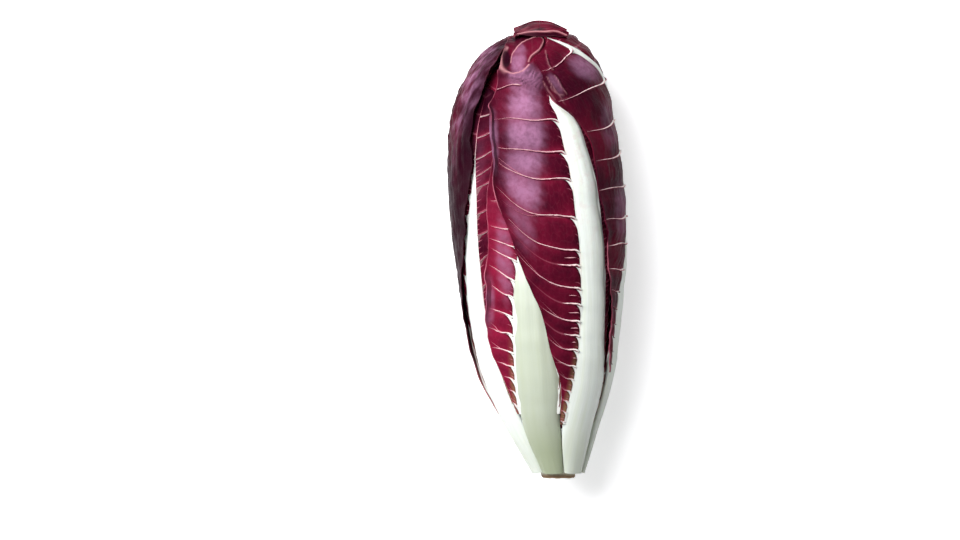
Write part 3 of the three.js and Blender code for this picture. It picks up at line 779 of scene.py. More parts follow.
# %% The cap
CAP_LINE = 2.0  # mm from the tip of the capping leaf to the pale line along it
CAP_CLIMB = 2.2  # mm by which the line climbs away from the tip on the right
CAP_MIDDLE = 2.0  # where the cap is highest, in mm seen from above
CAP_ROUND = 2.3  # mm by which its corners are lower
CAP_START = (0.93, 0.98)  # share of the way over which the leaf turns into the cap
CAP_FRONT = (1.078, 1.055)  # and from its very front over which its corners get lower


def cap_line(places):
    return CAP_LINE + CAP_CLIMB * step(2, 12, places[..., 0])


def cap_relief(leaf, s, across, places):
    """The cap's pale line is a low roll, its corners are round and the rest is crumpled."""
    away = (leaf["tip"] - s) * LENGTH
    lower = CAP_ROUND * step(3, 15, np.abs(places[..., 0] - CAP_MIDDLE)) * step(*CAP_FRONT, s)
    height = 0.7 * bell(away - cap_line(places), 0.9)
    return height + (1.1 * soft_noise(9, 7, across, away) - lower) * step(*CAP_START, s)


# %% Relief
def relief(leaf, s, w):
    """How far in mm the leaf stands off its plain surface."""
    name, seed = leaf["name"], name_seed(leaf)
    mm, _, rib_mm, edge_mm = leaf_frame(leaf, s, w)
    number, gap = leaf_veins(leaf, s, w)
    across, along = w * mm, s * LENGTH
    blade = step(0.2, 3, rib_mm)
    swell = PUCKER * FLAT_PUCKER.get(name, 1) * np.clip(gap / 9, 0.2, 1.1)
    swell = swell * np.sin(np.pi * number) ** 2 * blade * step(-1, 3, edge_mm)
    crease = 0.16 * soft_noise(seed + 1, 7, across, along * 0.6)
    crease = crease + 0.05 * soft_noise(seed + 2, 2.6, across, along)
    height = swell + crease * blade + 0.35 * soft_noise(seed, 28, across, along)
    if name in TIP_FORMS:
        height = height + TIP_FORMS[name](seen(leaf_point(leaf, s, w)))[0] * step(*TIP_FADE, s)
    if name == "under_leaf":
        height = height + cap_relief(leaf, s, across, seen(leaf_point(leaf, s, w)))
    if name == "far_left_leaf":
        height = height + 0.3 * blade * step(0.55, 0.7, s) * soft_noise(17, 5, across, along * 0.7)
    return height


# %% Surface
NUDGE_W, NUDGE_S = 0.05, 5e-4  # steps in degrees and share of the way for taking slopes
WIDE_NUDGE_W, WIDE_NUDGE_S = 0.15, 1e-3


def leaf_surface(leaf, s, w):
    """The leaf's real surface, with its swellings and rolled margins, in mm."""
    row = leaf_row(leaf, s)
    mm, edge, *_ = leaf_frame(leaf, s, w)
    roll = np.where(w < 0, *(curve(curl, s) for curl in CURLS[leaf["name"]]))
    jitter = soft_noise(name_seed(leaf) + 7, 16, s * LENGTH + 40 * np.sign(w), np.sign(w))
    roll = (roll + CURL_JITTER * jitter) * RAD
    width = np.clip(CURL_SHARE * (edge - row["half"]) * mm, 0.05, CURL_STRIP)
    bend = roll / width
    bend = np.where(np.abs(bend) < 1e-3, 1e-3, bend)
    reach = np.sin(np.minimum(np.abs(bend * width), np.pi / 2)) / np.abs(bend)
    reach = np.clip(reach, 0.02, width)  # how far out the strip gets once it has rolled up
    flat = edge - reach / mm
    beyond = np.maximum(np.abs(w) - flat, 0) * mm * width / reach
    w_flat = np.sign(w) * np.minimum(np.abs(w), flat)
    base = leaf_point(leaf, s, w_flat)
    aside = unit(leaf_point(leaf, s, w_flat + NUDGE_W) - leaf_point(leaf, s, w_flat - NUDGE_W))
    ahead = leaf_point(leaf, s + NUDGE_S, w_flat) - leaf_point(leaf, s - NUDGE_S, w_flat)
    out = unit(np.cross(aside, ahead))
    side = np.sin(bend * beyond) / bend * np.sign(w)
    lift = (1 - np.cos(bend * beyond)) / bend + relief(leaf, s, w_flat)
    return base + aside * side[..., None] + out * lift[..., None]


def surface_normal(leaf, s, w):
    aside = leaf_surface(leaf, s, w + WIDE_NUDGE_W) - leaf_surface(leaf, s, w - WIDE_NUDGE_W)
    ahead = leaf_surface(leaf, s + WIDE_NUDGE_S, w) - leaf_surface(leaf, s - WIDE_NUDGE_S, w)
    return unit(np.cross(aside, ahead))


# %% [markdown]
# ## Building a piece
#
# Every leaf piece is a thin closed body: a fine outer sheet, a coarse inner one that nobody sees,
# and a wall round the rim. The inner sheet keeps only every third row and column, which saves a
# third of the triangles. The numbers that the colours need ride along on the points.

# %% Sheets to bodies
def even_steps(start, end, size):
    """Evenly spaced values from start to end, about size apart."""
    count = max(2, int(round(abs(end - start) / size)))
    return np.linspace(start, end, count + 1)


def sheet_body(outer, inner, coarse=3):
    """Points and faces of the closed body between two sheets of the same rows and columns."""
    rows, columns = outer.shape[:2]
    top = np.arange(rows * columns).reshape(rows, columns)
    faces = np.stack([top[:-1, :-1], top[:-1, 1:], top[1:, 1:], top[1:, :-1]], -1)
    faces = faces.reshape(-1, 4).tolist()
    kept_rows = sorted({*range(0, rows, coarse), rows - 1})
    kept_columns = sorted({*range(0, columns, coarse), columns - 1})
    keep = np.zeros((rows, columns), bool)
    keep[np.ix_(kept_rows, kept_columns)] = True
    keep[[0, -1], :] = keep[:, [0, -1]] = True
    below = np.full((rows, columns), -1)
    below[keep] = rows * columns + np.arange(keep.sum())
    for a, b in zip(kept_rows, kept_rows[1:]):
        for c, d in zip(kept_columns, kept_columns[1:]):
            up = range(a, b) if c == 0 else [a]
            down = range(b, a, -1) if d == columns - 1 else [b]
            right = range(c, d) if b == rows - 1 else [c]
            left = range(d, c, -1) if a == 0 else [d]
            ring = [(i, c) for i in up] + [(b, j) for j in right]
            ring += [(i, d) for i in down] + [(a, j) for j in left]
            faces.append([int(below[place]) for place in ring])
    rim = [(0, j) for j in range(columns - 1)] + [(i, columns - 1) for i in range(rows - 1)]
    rim += [(rows - 1, j) for j in range(columns - 1, 0, -1)] + [(i, 0) for i in range(rows - 1, 0, -1)]
    for p, q in zip(rim, rim[1:] + rim[:1]):
        faces.append([int(top[p]), int(below[p]), int(below[q]), int(top[q])])
    return np.concatenate([outer.reshape(-1, 3), inner[keep]]), faces, keep


def grid_normals(points):
    aside, ahead = np.gradient(points, axis=1), np.gradient(points, axis=0)
    return unit(np.cross(aside, ahead))


def body_values(values, keep):
    """Values for each grid place, repeated for the inner sheet's points."""
    spread = {key: value + np.zeros(keep.shape) for key, value in values.items()}
    return {key: np.concatenate([value.ravel(), value[keep]]) for key, value in spread.items()}


# %% [markdown]
# The head rests on its lowest leaf, which its own weight presses flat. So the heights near the
# table are squeezed together until nothing is left below it, and their order stays the same.

# %% Meshes
SHARP_WALL = 62 * RAD
PRESSED = [[-4.6, 0], [-2.5, 0.3], [0, 0.9], [1.5, 1.8], [3, 3], [4.5, 4.5]]  # height, pressed height
PRESS_TOP = 3  # mm, and nothing above it is moved
triangle_total = 0


def pressed(points):
    """The points in mm, with their heights squeezed together just above the table."""
    height = points[:, 2:]
    height = np.where(height < PRESS_TOP, curve(PRESSED, height), height)
    return np.concatenate([points[:, :2], height], axis=1)


def make_piece(name, parts, material, node):
    """One object from several bodies of (points in mm, faces, values per point)."""
    global triangle_total
    points = pressed(np.concatenate([part[0] for part in parts]))
    faces, offset = [], 0
    for part in parts:
        faces += [[index + offset for index in face] for face in part[1]]
        offset += len(part[0])
    mesh = bpy.data.meshes.new(name)
    mesh.from_pydata((points * MM).tolist(), [], faces)
    for key in sorted({key for part in parts for key in part[2]}):
        data = np.concatenate([part[2].get(key, np.zeros(len(part[0]))) for part in parts])
        layer = mesh.attributes.new(key, "FLOAT", "POINT")
        layer.data.foreach_set("value", data.astype(np.float32))
    mesh.polygons.foreach_set("use_smooth", [True] * len(mesh.polygons))
    mesh.set_sharp_from_angle(angle=SHARP_WALL)
    mesh.materials.append(material)
    piece = add_object(name, mesh)
    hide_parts(node)
    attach(piece, "root")
    count = sum(len(face) - 2 for face in faces)
    triangle_total += count
    print(name, count, "triangles")


# %% [markdown]
# ## Colours of the blade
#
# The red of radicchio is a pigment in the skin, strongest where the light fell and thin over the
# veins, which stay pale. So the colour starts from a dark burgundy, gets brighter in soft patches
# and close to the veins, and turns pinkish white on them. A group of nodes makes the masks of the
# veins. It reads only the numbers that ride on the points.

# %% Vein network group
MASKS = ("Line", "Halo", "Comb", "Net", "Root", "Inside")


def line_masks(graph, mm, strength, reach, edge):
    """The main veins, which thin out on their way, and the brighter red beside them."""
    line = graph.smooth(mm, reach * 0.75, 0.1) * (strength * reach) * graph.smooth(edge, 0.6, 5.0)
    return line, graph.smooth(mm, 3.6, 0.0) * strength * reach


def root_masks(graph, number, gap, rib, strength):
    """Just below a vein the red panel has a rounded, white corner, with painted shade inside its arc."""
    under = (graph.math("CEIL", number) - number) * gap
    corner = graph.smooth(gap, 2.0, 10.0, 2.0, 6.6) * graph.smooth(strength, 0.5, 1.0, 0.8, 1.05)
    roots, corner_shades = [], []
    for size, far in ((1.0, under), (0.3, gap - under)):
        radius = corner * size
        x, y = (graph.math("MAXIMUM", radius - value, 0.0) for value in (rib, far))
        outside = graph.math("SQRT", x * x + y * y) - radius
        near = graph.smooth(rib, radius, radius * 0.6)
        roots.append(graph.smooth(outside, -0.08, 0.22) * near)
        corner_shades.append(graph.smooth(outside, -1.5, -0.1) * near)
    return graph.math("MAXIMUM", *roots), graph.math("MAXIMUM", *corner_shades)


def comb_mask(graph, number, gap, rib):
    """Short fine veins leave the rib between the main ones, like the teeth of a comb."""
    teeth = number * 4.0
    tooth_mm = graph.math("ABSOLUTE", teeth - graph.math("ROUND", teeth)) * (gap * 0.25)
    length = graph.smooth(graph.noise(graph.vector(teeth), 1.3, 1.0), 0.35, 0.72, 0.9, 6.0)
    point = rib / length
    thick = graph.smooth(point, 1.0, 0.0, 0.02, 0.42)
    return graph.smooth(tooth_mm, thick, thick * 0.4) * graph.smooth(point, 1.0, 0.6)


def net_mask(graph, number, rib):
    """The finest veins are the borders of small uneven cells."""
    place = graph.vector(rib * 0.42, number * 3.4)
    jitter = graph.noise(place, 1.7, 2.0, output="Color")
    moved = graph.get("ShaderNodeVectorMath", {0: jitter, "Scale": 0.9}, operation="SCALE")
    bent = graph.get("ShaderNodeVectorMath", {0: place, 1: moved}, operation="ADD")
    cells = graph.get("ShaderNodeTexVoronoi", {"Vector": bent, "Scale": 1.0}, "Distance",
                      feature="DISTANCE_TO_EDGE", voronoi_dimensions="2D")
    return graph.smooth(cells, 0.09, 0.01)


def vein_network():
    """The group that makes all masks from vein number, gap, and mm to the rib and margin."""
    inputs, outputs = (dict.fromkeys(keys, "Float") for keys in (("Number", "Gap", "Rib", "Edge"), MASKS))
    graph, given, out = new_tree("ShaderNodeTree", "vein_network", inputs, outputs)
    number, gap, rib, edge = given.values()
    whole = graph.math("ROUND", number)
    mm = graph.math("ABSOLUTE", number - whole) * gap
    chance = graph.get("ShaderNodeTexWhiteNoise", {"W": whole}, "Value", noise_dimensions="1D")
    strength = chance * 0.45 + 0.55
    reach = graph.smooth(rib, 2.0, 34.0, 1.0, 0.35)
    line, halo = line_masks(graph, mm, strength, reach, edge)
    root, inside = root_masks(graph, number, gap, rib, strength)
    comb, net = comb_mask(graph, number, gap, rib), net_mask(graph, number, rib)
    graph.feed(out, zip(MASKS, (line, halo, comb, net, root, inside)))
    return graph.tree


NETWORK = vein_network()

# %% Blade material
DARK = (0.045, 0.0025, 0.011, 1)
BURGUNDY = (0.115, 0.0045, 0.019, 1)
CRIMSON = (0.25, 0.010, 0.038, 1)
PINK = (0.56, 0.16, 0.22, 1)
VEIN_WHITE = (0.84, 0.66, 0.64, 1)
RIB_WHITE = (0.83, 0.86, 0.80, 1)
LIME = (0.40, 0.34, 0.14, 1)
# pale crests: on the lip and the cap the margin's own colour, on the right leaf's creases a painted
# highlight
FOLD_PINK = (0.56, 0.25, 0.27, 1)
HIGHLIGHT_LILAC = (0.39, 0.18, 0.31, 1)
# near black, the painted shade of hollows, gaps and leaves that lie under others
PAINTED_SHADE = (0.012, 0.001, 0.005, 1)
SHEEN = {"Specular IOR Level": 0.03, "Specular Tint": (0.85, 0.38, 0.62, 1)}


def blade_layers(graph, patches, specks):
    """The height of the fine relief, and what covers the dark ground, from the lowest layer up."""
    keys = ("rib_mm", "edge_mm", "number", "gap_mm", "crest", "lime", "ribbed", "rooted")
    rib, edge, number, gap, crest, lime, ribbed, rooted = map(graph.point, keys)
    inputs = {"Number": number, "Gap": gap, "Rib": rib, "Edge": edge}
    line, halo, comb, net, root, inside = (
        Value(graph, socket) for socket in graph.get(
            "ShaderNodeGroup", inputs, node_tree=NETWORK).socket.node.outputs)
    glow = graph.math("ADD", halo * 0.4, graph.point("bright"), use_clamp=True)
    lilac_highlight = graph.point("bloom") * graph.smooth(patches, 0.3, 0.6, 0.75, 1.0)
    whites = [(graph.smooth(crest, 0.25, 0.8), VEIN_WHITE), (graph.smooth(crest, 0.9, 1.25), RIB_WHITE)]
    height = graph.noise(graph.place(), 700.0, 3.0, 0.6) + net * 0.3 + line * 0.6
    return height, [
        (graph.smooth(patches, 0.36, 0.66), BURGUNDY),
        (glow * graph.smooth(patches, 0.2, 0.6, 0.6, 1.0), CRIMSON),
        (net * 0.03, PINK),
        (graph.smooth(specks, 0.56, 0.74) * 0.2, DARK),
        (lime * graph.smooth(rib, 4.5, 0.2), LIME),
        (comb * ribbed * (lime * 0.4 + 0.55), PINK),
        (line * 0.55, PINK),
        (graph.smooth(edge, 0.42, 0.1) * graph.smooth(patches, 0.4, 0.6, 0.15, 0.7), PINK),
        # painted lilac highlight, where the soft light would glance off the leaf
        (lilac_highlight * graph.smooth(specks, 0.3, 0.65, 0.7, 1.0), HIGHLIGHT_LILAC),
        (graph.point("fold"), FOLD_PINK),
        (graph.point("shade"), PAINTED_SHADE),
        # painted shade along the inside of the white corners
        (inside * rooted * 0.6, PAINTED_SHADE),
        (root * rooted, RIB_WHITE),
        (graph.smooth(rib, 0.4, 0.0) * ribbed, RIB_WHITE),
        (graph.smooth(crest, 0.0, 0.3), graph.layers(PINK, whites)),
    ]


def blade_material():
    material, graph, shader = new_material("leaf_blade_skin")
    patches = graph.noise(graph.place(), 42.0, 4.0, 0.55)
    specks = graph.noise(graph.place(), 420.0, 3.0, 0.6)
    height, layers = blade_layers(graph, patches, specks)
    graph.feed(shader, {
        "Base Color": graph.layers(DARK, layers),
        "Roughness": graph.smooth(specks, 0.3, 0.7, 0.33, 0.44),
        "Normal": graph.bump(height, 0.4, 0.00025),
        **SHEEN,
    })
    return material


BLADE = blade_material()

# %% [markdown]
# ## The ribs
#
# A rib is juicy and almost white, with a trace of green, and it lets a little light in. Fine
# grooves run along it, which are the bundles of fibres under its skin.

# %% Rib material
RIB_PALE, RIB_BRIGHT = (0.80, 0.86, 0.79, 1), (0.86, 0.91, 0.85, 1)
RIB_GREEN, RIB_SHADOW = (0.74, 0.80, 0.62, 1), (0.36, 0.41, 0.27, 1)
BRUISE = (0.42, 0.30, 0.17, 1)
FLESH = {"Subsurface Weight": 0.12, "Subsurface Radius": (1.0, 0.9, 0.6), "Subsurface Scale": 0.003,
         "Coat Weight": 0.1}


def rib_material():
    material, graph, shader = new_material("leaf_rib_skin")
    across, along = graph.point("across_mm"), graph.point("along_mm")
    grain = graph.noise(graph.vector(across * 1.1, along * 0.035), 1.0, 4.0, 0.6)
    broad = graph.noise(graph.vector(across * 0.25, along * 0.02), 1.0, 2.0)
    spots = graph.noise(graph.place(), 160.0, 4.0, 0.65)
    bruised = graph.smooth(spots, 0.66, 0.76) * graph.smooth(along, 60.0, 10.0)
    colour = graph.layers(RIB_PALE, [
        (graph.smooth(grain, 0.35, 0.7), RIB_BRIGHT),
        (graph.smooth(broad, 0.45, 0.7) * 0.35, RIB_GREEN),
        (graph.smooth(graph.point("edge_mm"), 0.8, 0.1) * 0.25, PINK),
        (graph.point("upper") * graph.smooth(spots, 0.45, 0.7) * 0.2, PINK),
        (bruised * 0.35, BRUISE),
        (graph.point("shade"), RIB_SHADOW),
    ])
    graph.feed(shader, {
        "Base Color": colour,
        "Roughness": graph.smooth(grain, 0.3, 0.7, 0.36, 0.5),
        "Normal": graph.bump(grain, 0.3, 0.0003),
        **FLESH,
    })
    return material


RIB = rib_material()

# %% [markdown]
# ## Raised veins
#
# A vein is a soft ridge that thins out on its way. It follows a line over the leaf, so it is a
# job for Geometry Nodes: the lines come in as plain edges, each point knows its radius and which
# way is out of the leaf, and the nodes sweep a flattened ring along them.

# %% Sweep nodes
def end_tree(graph, out, geometry, material):
    """Ends a tree: its instances become real and get their material."""
    real = graph.get("GeometryNodeRealizeInstances", {"Geometry": geometry})
    done = graph.get("GeometryNodeSetMaterial", {"Geometry": real, "Material": material})
    graph.feed(out, {"Geometry": done})
    return graph.tree


def sweep_tree():
    inputs = {"Geometry": "Geometry", "Flatness": "Float", "Sides": "Int"}
    graph, given, out = new_tree("GeometryNodeTree", "vein_sweep", inputs, {"Geometry": "Geometry"})
    get = graph.get
    radius, normal = (
        get("GeometryNodeInputNamedAttribute", {"Name": key}, data_type=kind)
        for key, kind in (("radius_mm", "FLOAT"), ("out", "FLOAT_VECTOR")))
    lines = get("GeometryNodeMeshToCurve", {"Mesh": given["Geometry"]})
    lines = get("GeometryNodeSetCurveRadius", {"Curve": lines, "Radius": radius * MM})
    lines = get("GeometryNodeSetCurveNormal", {"Curve": lines, "Normal": normal}, mode="FREE")
    ring = get("GeometryNodeCurvePrimitiveCircle", {"Resolution": given["Sides"], "Radius": 1.0})
    # How high a point lies on the round ring tells the colours how near the crest it is.
    height = get("ShaderNodeSeparateXYZ", {0: get("GeometryNodeInputPosition")}, "Y")
    stored = {"Geometry": ring, "Name": "crest_raw", "Value": height}
    ring = get("GeometryNodeStoreNamedAttribute", stored, data_type="FLOAT", domain="POINT")
    squash = graph.vector(1.0, given["Flatness"], 1.0)
    ring = get("GeometryNodeTransform", {"Geometry": ring, "Scale": squash})
    swept = get("GeometryNodeCurveToMesh", {"Curve": lines, "Profile Curve": ring, "Fill Caps": True})
    sockets = swept.socket.node.inputs
    if "Scale" in sockets:  # newer versions take the radius here
        graph.feed(sockets, {"Scale": get("GeometryNodeInputRadius")})
    return end_tree(graph, out, swept, BLADE)


SWEEP = sweep_tree()


# %% From nodes to plain meshes
VEIN_SHAPE = {"Flatness": 0.42, "Sides": 8}


def grown_mesh(mesh, tree, settings):
    """The plain mesh that the nodes make of a mesh, with the tree's named inputs set."""
    host = add_object(tree.name, mesh)
    modifier = host.modifiers.new("nodes", "NODES")
    modifier.node_group = tree
    for socket in tree.interface.items_tree:
        if socket.name in settings:
            modifier[socket.identifier] = settings[socket.name]
    shown = host.evaluated_get(bpy.context.evaluated_depsgraph_get())
    result = bpy.data.meshes.new_from_object(shown)
    bpy.data.objects.remove(host)
    return result


def mesh_arrays(mesh):
    """Points in mm and faces of a mesh."""
    places = np.empty(len(mesh.vertices) * 3)
    mesh.vertices.foreach_get("co", places)
    return places.reshape(-1, 3) / MM, [list(polygon.vertices) for polygon in mesh.polygons]


def swept_ridges(lines):
    """Sweeps ridges along lines, each with points in mm and more values for every point."""
    points = np.concatenate([line["points"] for line in lines])
    mesh = bpy.data.meshes.new("vein_lines")
    edges, offset = [], 0
    for line in lines:
        count = len(line["points"])
        edges += [(offset + i, offset + i + 1) for i in range(count - 1)]
        offset += count
    mesh.from_pydata((points * MM).tolist(), edges, [])
    keys = [key for key in lines[0] if key != "points"]
    for key in keys:
        data = np.concatenate([line[key] for line in lines]).astype(np.float32)
        kind, field = ("FLOAT_VECTOR", "vector") if data.ndim == 2 else ("FLOAT", "value")
        mesh.attributes.new(key, kind, "POINT").data.foreach_set(field, data.ravel())
    result = grown_mesh(mesh, SWEEP, VEIN_SHAPE)
    places, faces = mesh_arrays(result)
    values = {}
    for key in [key for key in keys if key != "out"] + ["crest_raw"]:
        values[key] = np.empty(len(places))
        result.attributes[key].data.foreach_get("value", values[key])
    bpy.data.meshes.remove(result)
    return places, faces, values


# %% [markdown]
# ## The outer leaves
#
# Now each leaf is made: the grid of its blade, with close rows, then the main veins on both sides
# and the midvein beyond the rib, then the rib itself as its own piece.

# %% Blade grids
ROW_MM = 0.75  # spacing of the rows and columns of the blades that show on top
TIP_START = 0.8  # share of the way from which the rows of the folded tips are closer
TIP_ROW_MM = 0.42
BLADE_THICK = 0.9
MARGIN_THICK = 0.5
FINE = {"front_leaf": 1.0, "right_leaf": 1.0, "middle_leaf": 1.0, "left_leaf": 1.1,
        "far_left_leaf": 1.25, "under_leaf": 1.6, "back_right_leaf": 1.6}  # times that spacing
ROUNDED_END = 0.994  # how far round the tip the last row lies, as a sine
ROUNDED_STEP = 1.15  # times the row spacing
LEAST_STRIP = 0.025  # of the left blade's width, the least for half the strip under the rib
STRIP_COLUMNS = 6


def blade_rows(leaf, size):
    """Rows of a blade, even at first and ever closer where the tip rounds off."""
    rounding = leaf.get("round", ROUND_TIP)
    turn = leaf["tip"] - rounding
    fine = TIP_ROW_MM if leaf["name"] in {*TIP_FORMS, "under_leaf"} else size
    body = even_steps(leaf["start"], min(turn, TIP_START), size / LENGTH)
    if turn > TIP_START:
        body = np.concatenate([body, even_steps(TIP_START, turn, fine / LENGTH)[1:]])
    arc = even_steps(0, np.arcsin(ROUNDED_END), fine / LENGTH / rounding * ROUNDED_STEP)
    return np.concatenate([body, turn + rounding * np.sin(arc[1:])])


def blade_columns(leaf, s, size):
    """Degrees beside the rib of every column: the left blade, the strip under the rib, the right."""
    row = leaf_row(leaf, s)
    inside = np.maximum(row["half"], LEAST_STRIP * np.abs(row["left"]))
    sides = []
    for edge in (np.abs(row["left"]), row["right"]):
        width = (edge - row["half"]) * RAD * row["radius"]
        share = np.linspace(0, 1, int(np.ceil(width.max() / size)) + 2)
        sides.append(inside + share * (edge - inside))
    strip = inside * np.linspace(-1, 1, STRIP_COLUMNS + 1)[1:-1]
    return np.concatenate([-sides[0][:, ::-1], strip, sides[1]], axis=1)


# %% Painted highlights
PAINTED_HIGHLIGHTS = {  # leaf: painted lilac highlights as [x, y, half width, half height in mm, turn in degrees, strength]
    "front_leaf": [
        [-6.5, 62, 8.5, 25, 3, 0.95], [-8, 36, 8, 16, 14, 0.75], [-8.5, 15, 5, 15, 18, 0.3],
        [-6.9, 89, 8, 7.5, 0, 0.85],
        [-10, 100.5, 3.5, 6, -15, 0.75], [-23.5, 56, 2.5, 15, 0, 0.6],
    ],
    "right_leaf": [
        [24, 96.5, 9, 4.5, -40, 0.75], [37.3, 66, 3.5, 12, 8, 0.3], [43.8, 22, 3, 14, 0, 0.4],
        [9.4, 87.5, 2, 7, 28, 0.45],
    ],
    "far_left_leaf": [
        [-27, 103, 4, 7, -40, 0.8], [-34.5, 85, 4.4, 14, -14, 0.9], [-40.5, 67, 3.5, 8, -28, 0.6],
        [-44, 48, 1.6, 12, -4, 0.3], [-24.7, 96.6, 4.5, 1.3, 35, 0.6],
    ],
    "middle_leaf": [[-17.5, -5, 4, 20, 4, 0.45], [-25, -28, 2, 13, 0, 0.4], [-15, 30, 3, 8, 0, 0.3]],
    "left_leaf": [[-32, 44, 4, 18, 0, 0.08]],
}
HIGHLIGHT_FADE, HIGHLIGHT_EDGE = 4.5, 0.7  # how steeply an ellipse ends, and how much of it is lost there


def highlight_strength(places, patches):
    """The strongest of several soft ellipses, at places seen from above."""
    total = np.zeros(places.shape[:-1])
    for x, y, wide, high, turn, strength in patches:
        dx, dy = places[..., 0] - x, places[..., 1] - y
        c, d = np.cos(turn * RAD), np.sin(turn * RAD)
        far = np.hypot((c * dx + d * dy) / wide, (c * dy - d * dx) / high)
        far = far + 0.1 * soft_noise(21, 5, places[..., 0], places[..., 1])
        total = np.maximum(total, strength * np.exp(-(np.maximum(far, 0) ** HIGHLIGHT_FADE) * HIGHLIGHT_EDGE))
    return total


# %% [markdown]
# Each leaf has its own look on top of that: where it is deep in shade, where it is brighter red,
# and where its veins are lost. These are numbers on the points too.

# %% Looks
RIGHT_VEINS = 40  # added to the numbers on the right, so that both sides differ
NO_VEINS, WIDE_GAP = 0.5, 30  # a number halfway between veins and a gap too wide to see one
PLAIN_TIP = 0.775  # share of the way beyond which the front leaf's veins are lost in its folds
FOLD_SHOW = {"front_leaf": 0.9, "right_leaf": 0.4}
ROOTED = {"front_leaf": 0.0, "right_leaf": 0.4, "left_leaf": 0.1}  # rounded roots right of the rib
MARGIN_LOST = 3  # mm added at a margin that should not be pale


def front_look(values, leaf, s, w, places):
    values["number"] = np.where(s > PLAIN_TIP, NO_VEINS, values["number"])
    values["gap_mm"] = np.where(s > PLAIN_TIP, WIDE_GAP, values["gap_mm"])
    values["bright"] = 0.25 * step(0.4, 0.25, s) * step(0, -4, w)
    values["edge_mm"] = values["edge_mm"] + MARGIN_LOST * step(0.55, 0.5, s) * (w < 0)
    beside = (w > 0) * step(0.48, 0.55, s) * step(0.78, 0.74, s)
    shade = values["shade"] + 0.3 * step(0.5, 0.4, s) * step(0.12, 0.25, s)
    values["shade"] = shade * (1 - beside) + 0.7 * beside


def right_look(values, leaf, s, w, places):
    lit = 0.8 * step(0.82, 0.9, s) * step(30, 10, places[..., 0])
    values["shade"] = 0.2 * (1 - values["bloom"]) * (1 - lit)
    values["edge_mm"] = values["edge_mm"] + MARGIN_LOST * step(0.48, 0.53, s) * (w < 0)


def middle_look(values, leaf, s, w, places):
    values["bright"] = 0.6 * step(0.66, 0.5, s) * step(0, -4, w)
    values["rib_mm"] = values["rib_mm"] - 5 * (w > 0) * step(0.36, 0.4, s) * step(0.56, 0.52, s)


def left_look(values, leaf, s, w, places):
    values["shade"] = 0.85 * step(0.69, 0.76, s)


def far_left_look(values, leaf, s, w, places):
    values["number"], values["gap_mm"] = NO_VEINS, WIDE_GAP
    mottle = 0.65 + 0.8 * soft_noise(41, 7, w * leaf_frame(leaf, s, w)[0], s * LENGTH * 0.7)
    # The painted highlight stays on the upper part of the leaf, mottled, where the light falls on it.
    upper = step(25, 45, leaf_point(leaf, s, w)[..., 2])
    values["bloom"] = values["bloom"] * np.clip(mottle, 0.1, 1) * upper
    # Painted shade elsewhere: darker towards the stem end and along the right margin.
    dark = (0.3 + 0.55 * step(0.8, 0.6, s)) * (1 - values["bloom"])
    dark = dark + 0.5 * step(14, 3, values["edge_mm"]) * step(0, 4, w)
    values["shade"] = np.clip(dark, 0, 0.92) * step(0.2, 0.35, s)


def under_look(values, leaf, s, w, places):
    """The leaf's tip is the cap: pale along its line, streaked, and deep in shade at its front."""
    x, y = places[..., 0], places[..., 1]
    cap = step(0.9, 0.95, s) + 0 * w
    away, line = (leaf["tip"] - s) * LENGTH, cap_line(places)
    pale = bell(away - line, 0.5)
    streak = 0.5 + 0.5 * soft_noise(31, 2.6, x * 0.2, y)
    dull = 1 - np.clip(streak, 0, 1)
    values["number"] = values["number"] * (1 - cap) + NO_VEINS * cap
    values["gap_mm"] = values["gap_mm"] + WIDE_GAP * cap
    values["bright"] = (0.4 * step(-2, 5, x) + 0.15) * cap * step(0.2, 0.6, streak)
    values["fold"] = np.maximum(0.22 * cap * step(3, -6, x) * (1 - dull), 0.9 * pale)
    front = 0.85 * step(line - 0.3, line - 0.9, away)
    values["shade"] = np.maximum(0.45 * cap * dull, front) * (1 - pale)


LOOKS = {"front_leaf": front_look, "right_leaf": right_look, "middle_leaf": middle_look,
         "left_leaf": left_look, "far_left_leaf": far_left_look, "under_leaf": under_look}


def leaf_values(leaf, s, w):
    """The numbers that the blade's colours are made from, for each place of the grid."""
    name, end = leaf["name"], leaf["half"][-1][0]
    _, _, rib_mm, edge_mm = leaf_frame(leaf, s, w)
    number, gap = leaf_veins(leaf, s, w)
    places = seen(leaf_point(leaf, s, w))
    # The painted highlight is strongest in the middle of each panel, where the swollen blade catches the
    # light.
    panel = 0.5 + 0.5 * np.abs(np.sin(np.pi * number))
    values = {
        "rib_mm": rib_mm, "edge_mm": edge_mm, "gap_mm": gap, "bright": 0,
        "number": number + np.where(w < 0, 0, RIGHT_VEINS),
        "lime": step(0.34, 0.18, s) * (0.5 if name == "front_leaf" else 0.35),
        "ribbed": step(end + 0.012, end, s),
        "rooted": step(end - 0.01, end - 0.07, s) * np.where(w > 0, ROOTED.get(name, 1), 1),
        "bloom": highlight_strength(places, PAINTED_HIGHLIGHTS.get(name, [])) * panel,
    }
    if name in TIP_FORMS:
        _, crest, hollow = TIP_FORMS[name](places)
        values["fold"] = np.clip(crest, 0, 1) * step(*TIP_FADE, s) * FOLD_SHOW[name]
        values["shade"] = np.clip(1.8 * hollow, 0, 0.95) * step(*TIP_FADE, s)
    if name in LOOKS:
        LOOKS[name](values, leaf, s, w, places)
    return {key: value + 0 * w for key, value in values.items()}


# %% Vein paths
FORKED = {"right_leaf": 0.0, "left_leaf": 0.15, "middle_leaf": 0.25}  # share of veins that fork
MOST_FORKED = 0.6  # the same on the other leaves
SHORT_VEINS = {"front_leaf": 0.6, "right_leaf": 0.3}  # chance of a short vein between two others
VEIN_ENDS = {"right_leaf": (0.96, 0.99), "front_leaf": (0.92, 0.98)}  # where veins end, of the width
OTHER_ENDS = (0.86, 0.965)
LATE_START = 0.2  # of the width, and a vein that starts farther out is a late one
FORK_SIDE = 0.45  # gaps between veins that a fork goes aside


